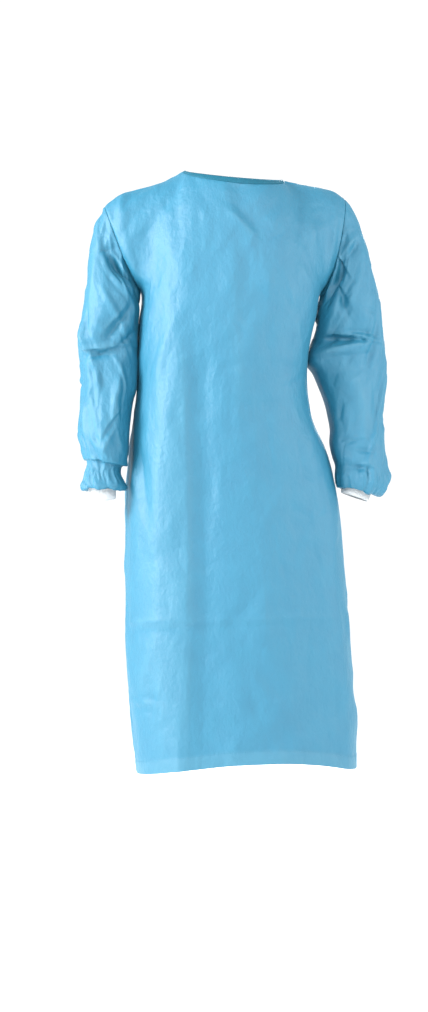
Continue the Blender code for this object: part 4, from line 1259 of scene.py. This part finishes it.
def studio():
    """A plain pale floor, soft light, and the camera at the picture's angle."""
    half = FLOOR_SIZE / 2
    corners = [(x * half, y * half, FLOOR_HEIGHT) for x, y in ((-1, -1), (1, -1), (1, 1), (-1, 1))]
    white = start_material("floor_white", (0.96, 0.96, 0.96), 0.9, 0.0)[0]
    mesh_object("floor", corners, [(0, 1, 2, 3)], white)
    world = bpy.data.worlds.new("studio")
    world.use_nodes = True
    background = world.node_tree.nodes["Background"]
    background.inputs["Color"].default_value = (1.0, 1.0, 1.0, 1.0)
    background.inputs["Strength"].default_value = WORLD_LIGHT
    bpy.context.scene.world = world
    for light in LIGHTS:
        area_light(*light)
    camera = bpy.data.cameras.new("camera")
    camera.sensor_width = SENSOR
    camera.lens = SENSOR * CAMERA_AWAY / (PICTURE_HEIGHT * PIXEL)
    turn = radians(CAMERA_TURN)
    right = Vector((cos(turn), sin(turn), 0))
    back = Vector((sin(turn), -cos(turn), 0))
    item = linked("camera", camera)
    item.location = right * CAMERA_ACROSS * PIXEL + back * CAMERA_AWAY + Vector((0, 0, CAMERA_UP * PIXEL))
    item.rotation_euler = (-back).to_track_quat("-Z", "Y").to_euler()
    bpy.context.scene.camera = item
    bpy.context.scene.view_settings.view_transform = "Standard"


def main():
    cloth = nonwoven("gown_cloth", *CLOTH_COLOURS, roughness=0.58, sheen=0.06, gloss=0.7)
    binding = bias_tape("gown_binding", *BINDING_COLOURS)
    knit = rib_knit("gown_knit", *KNIT_COLOURS)
    thread = thread_material("gown_thread", THREAD_COLOUR)
    binding_thread = thread_material("binding_thread", BINDING_THREAD_COLOUR)

    panels, sheets, lines = {}, [], []
    for row in PANELS:
        plan = dict(zip(PANEL_COLUMNS, row))
        name = plan["node"]
        panel = body_panel(name, plan["pitch"], plan["first_column"], plan["sign"])
        panels[name] = panel
        shaped, pale, thickness = finished_panel(panel, plan)
        if name != "front":
            shaped = held_by_tie(panel, shaped)
        panel["shaped"] = shaped
        flat = (panel["u"], panel["v"])
        item = shell(name + "_cloth", shaped, panel["normals"], thickness, cloth, flat=flat, pale=pale)
        settle(item, name)
        sheets.append((item, plan["flat"], plan["area"], "hung"))
        lines.append(down_column(shaped, panel["normals"], HEM_WIDTH - 0.002))
        for lap in plan["laps"]:
            places, facings = side_line(panel, lap, LAP_STITCHES)
            lines.append((places[:-LAP_STITCH_END], facings[:-LAP_STITCH_END]))

    for side in (RIGHT, LEFT):
        name = "sleeve_" + SIDE_NAMES[side]
        points, normals, thickness, u, v, pale = finished_sleeve(side)
        item = shell(name + "_cloth", points, normals, thickness, cloth, closed=True, flat=(u, v), pale=pale)
        settle(item, name)
        sheets.append((item, *SLEEVE_CUT, "hung"))
        points, normals, u, v = finished_cuff(side)
        name = "cuff_" + SIDE_NAMES[side]
        item = shell(name + "_knit", points, normals, KNIT_CLOTH, knit, closed=True, flat=(u, v))
        settle(item, name)
        sheets.append((item, CUFF_CUT, None, "stretched"))

    strip, line = neck_binding(panels["front"], panels["back_right"], panels["back_left"], binding)
    settle(strip, "neck_binding")
    sheets.append((strip, BINDING_CUT, None, "folded"))

    centre = np.array(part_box("tie_knot")).mean(axis=0)
    for side in (RIGHT, LEFT):
        for part, axes, across_parts, width in TAPES:
            name = part + SIDE_NAMES[side]
            coarse = tape_edges(name, *axes)
            item, edges = tape(name + "_tape", coarse, across_parts, TAPE_PARTS, cloth, 1.0 + side, centre)
            settle(item, name)
            lines += edges
            length = np.linalg.norm(np.diff(edges[0][0], axis=0), axis=-1).sum()
            sheets.append((item, (width, round(float(length), 2)), None, "hung"))

    first = knot_wrap("tie_knot_wrap", centre, (0.0165, 0.0074), 14, 0.021, cloth, 0.0)
    second = knot_wrap("tie_knot_loop", centre, (0.0225, 0.0056), 84, 0.026, cloth, 2.0)
    settle(first, "tie_knot")
    settle(second, None)

    settle(stitches("seam_stitches", lines, thread), None)
    settle(stitches("binding_stitches", [line], binding_thread), None)

    for item, flat, area, held in sheets:
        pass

    studio()


main()
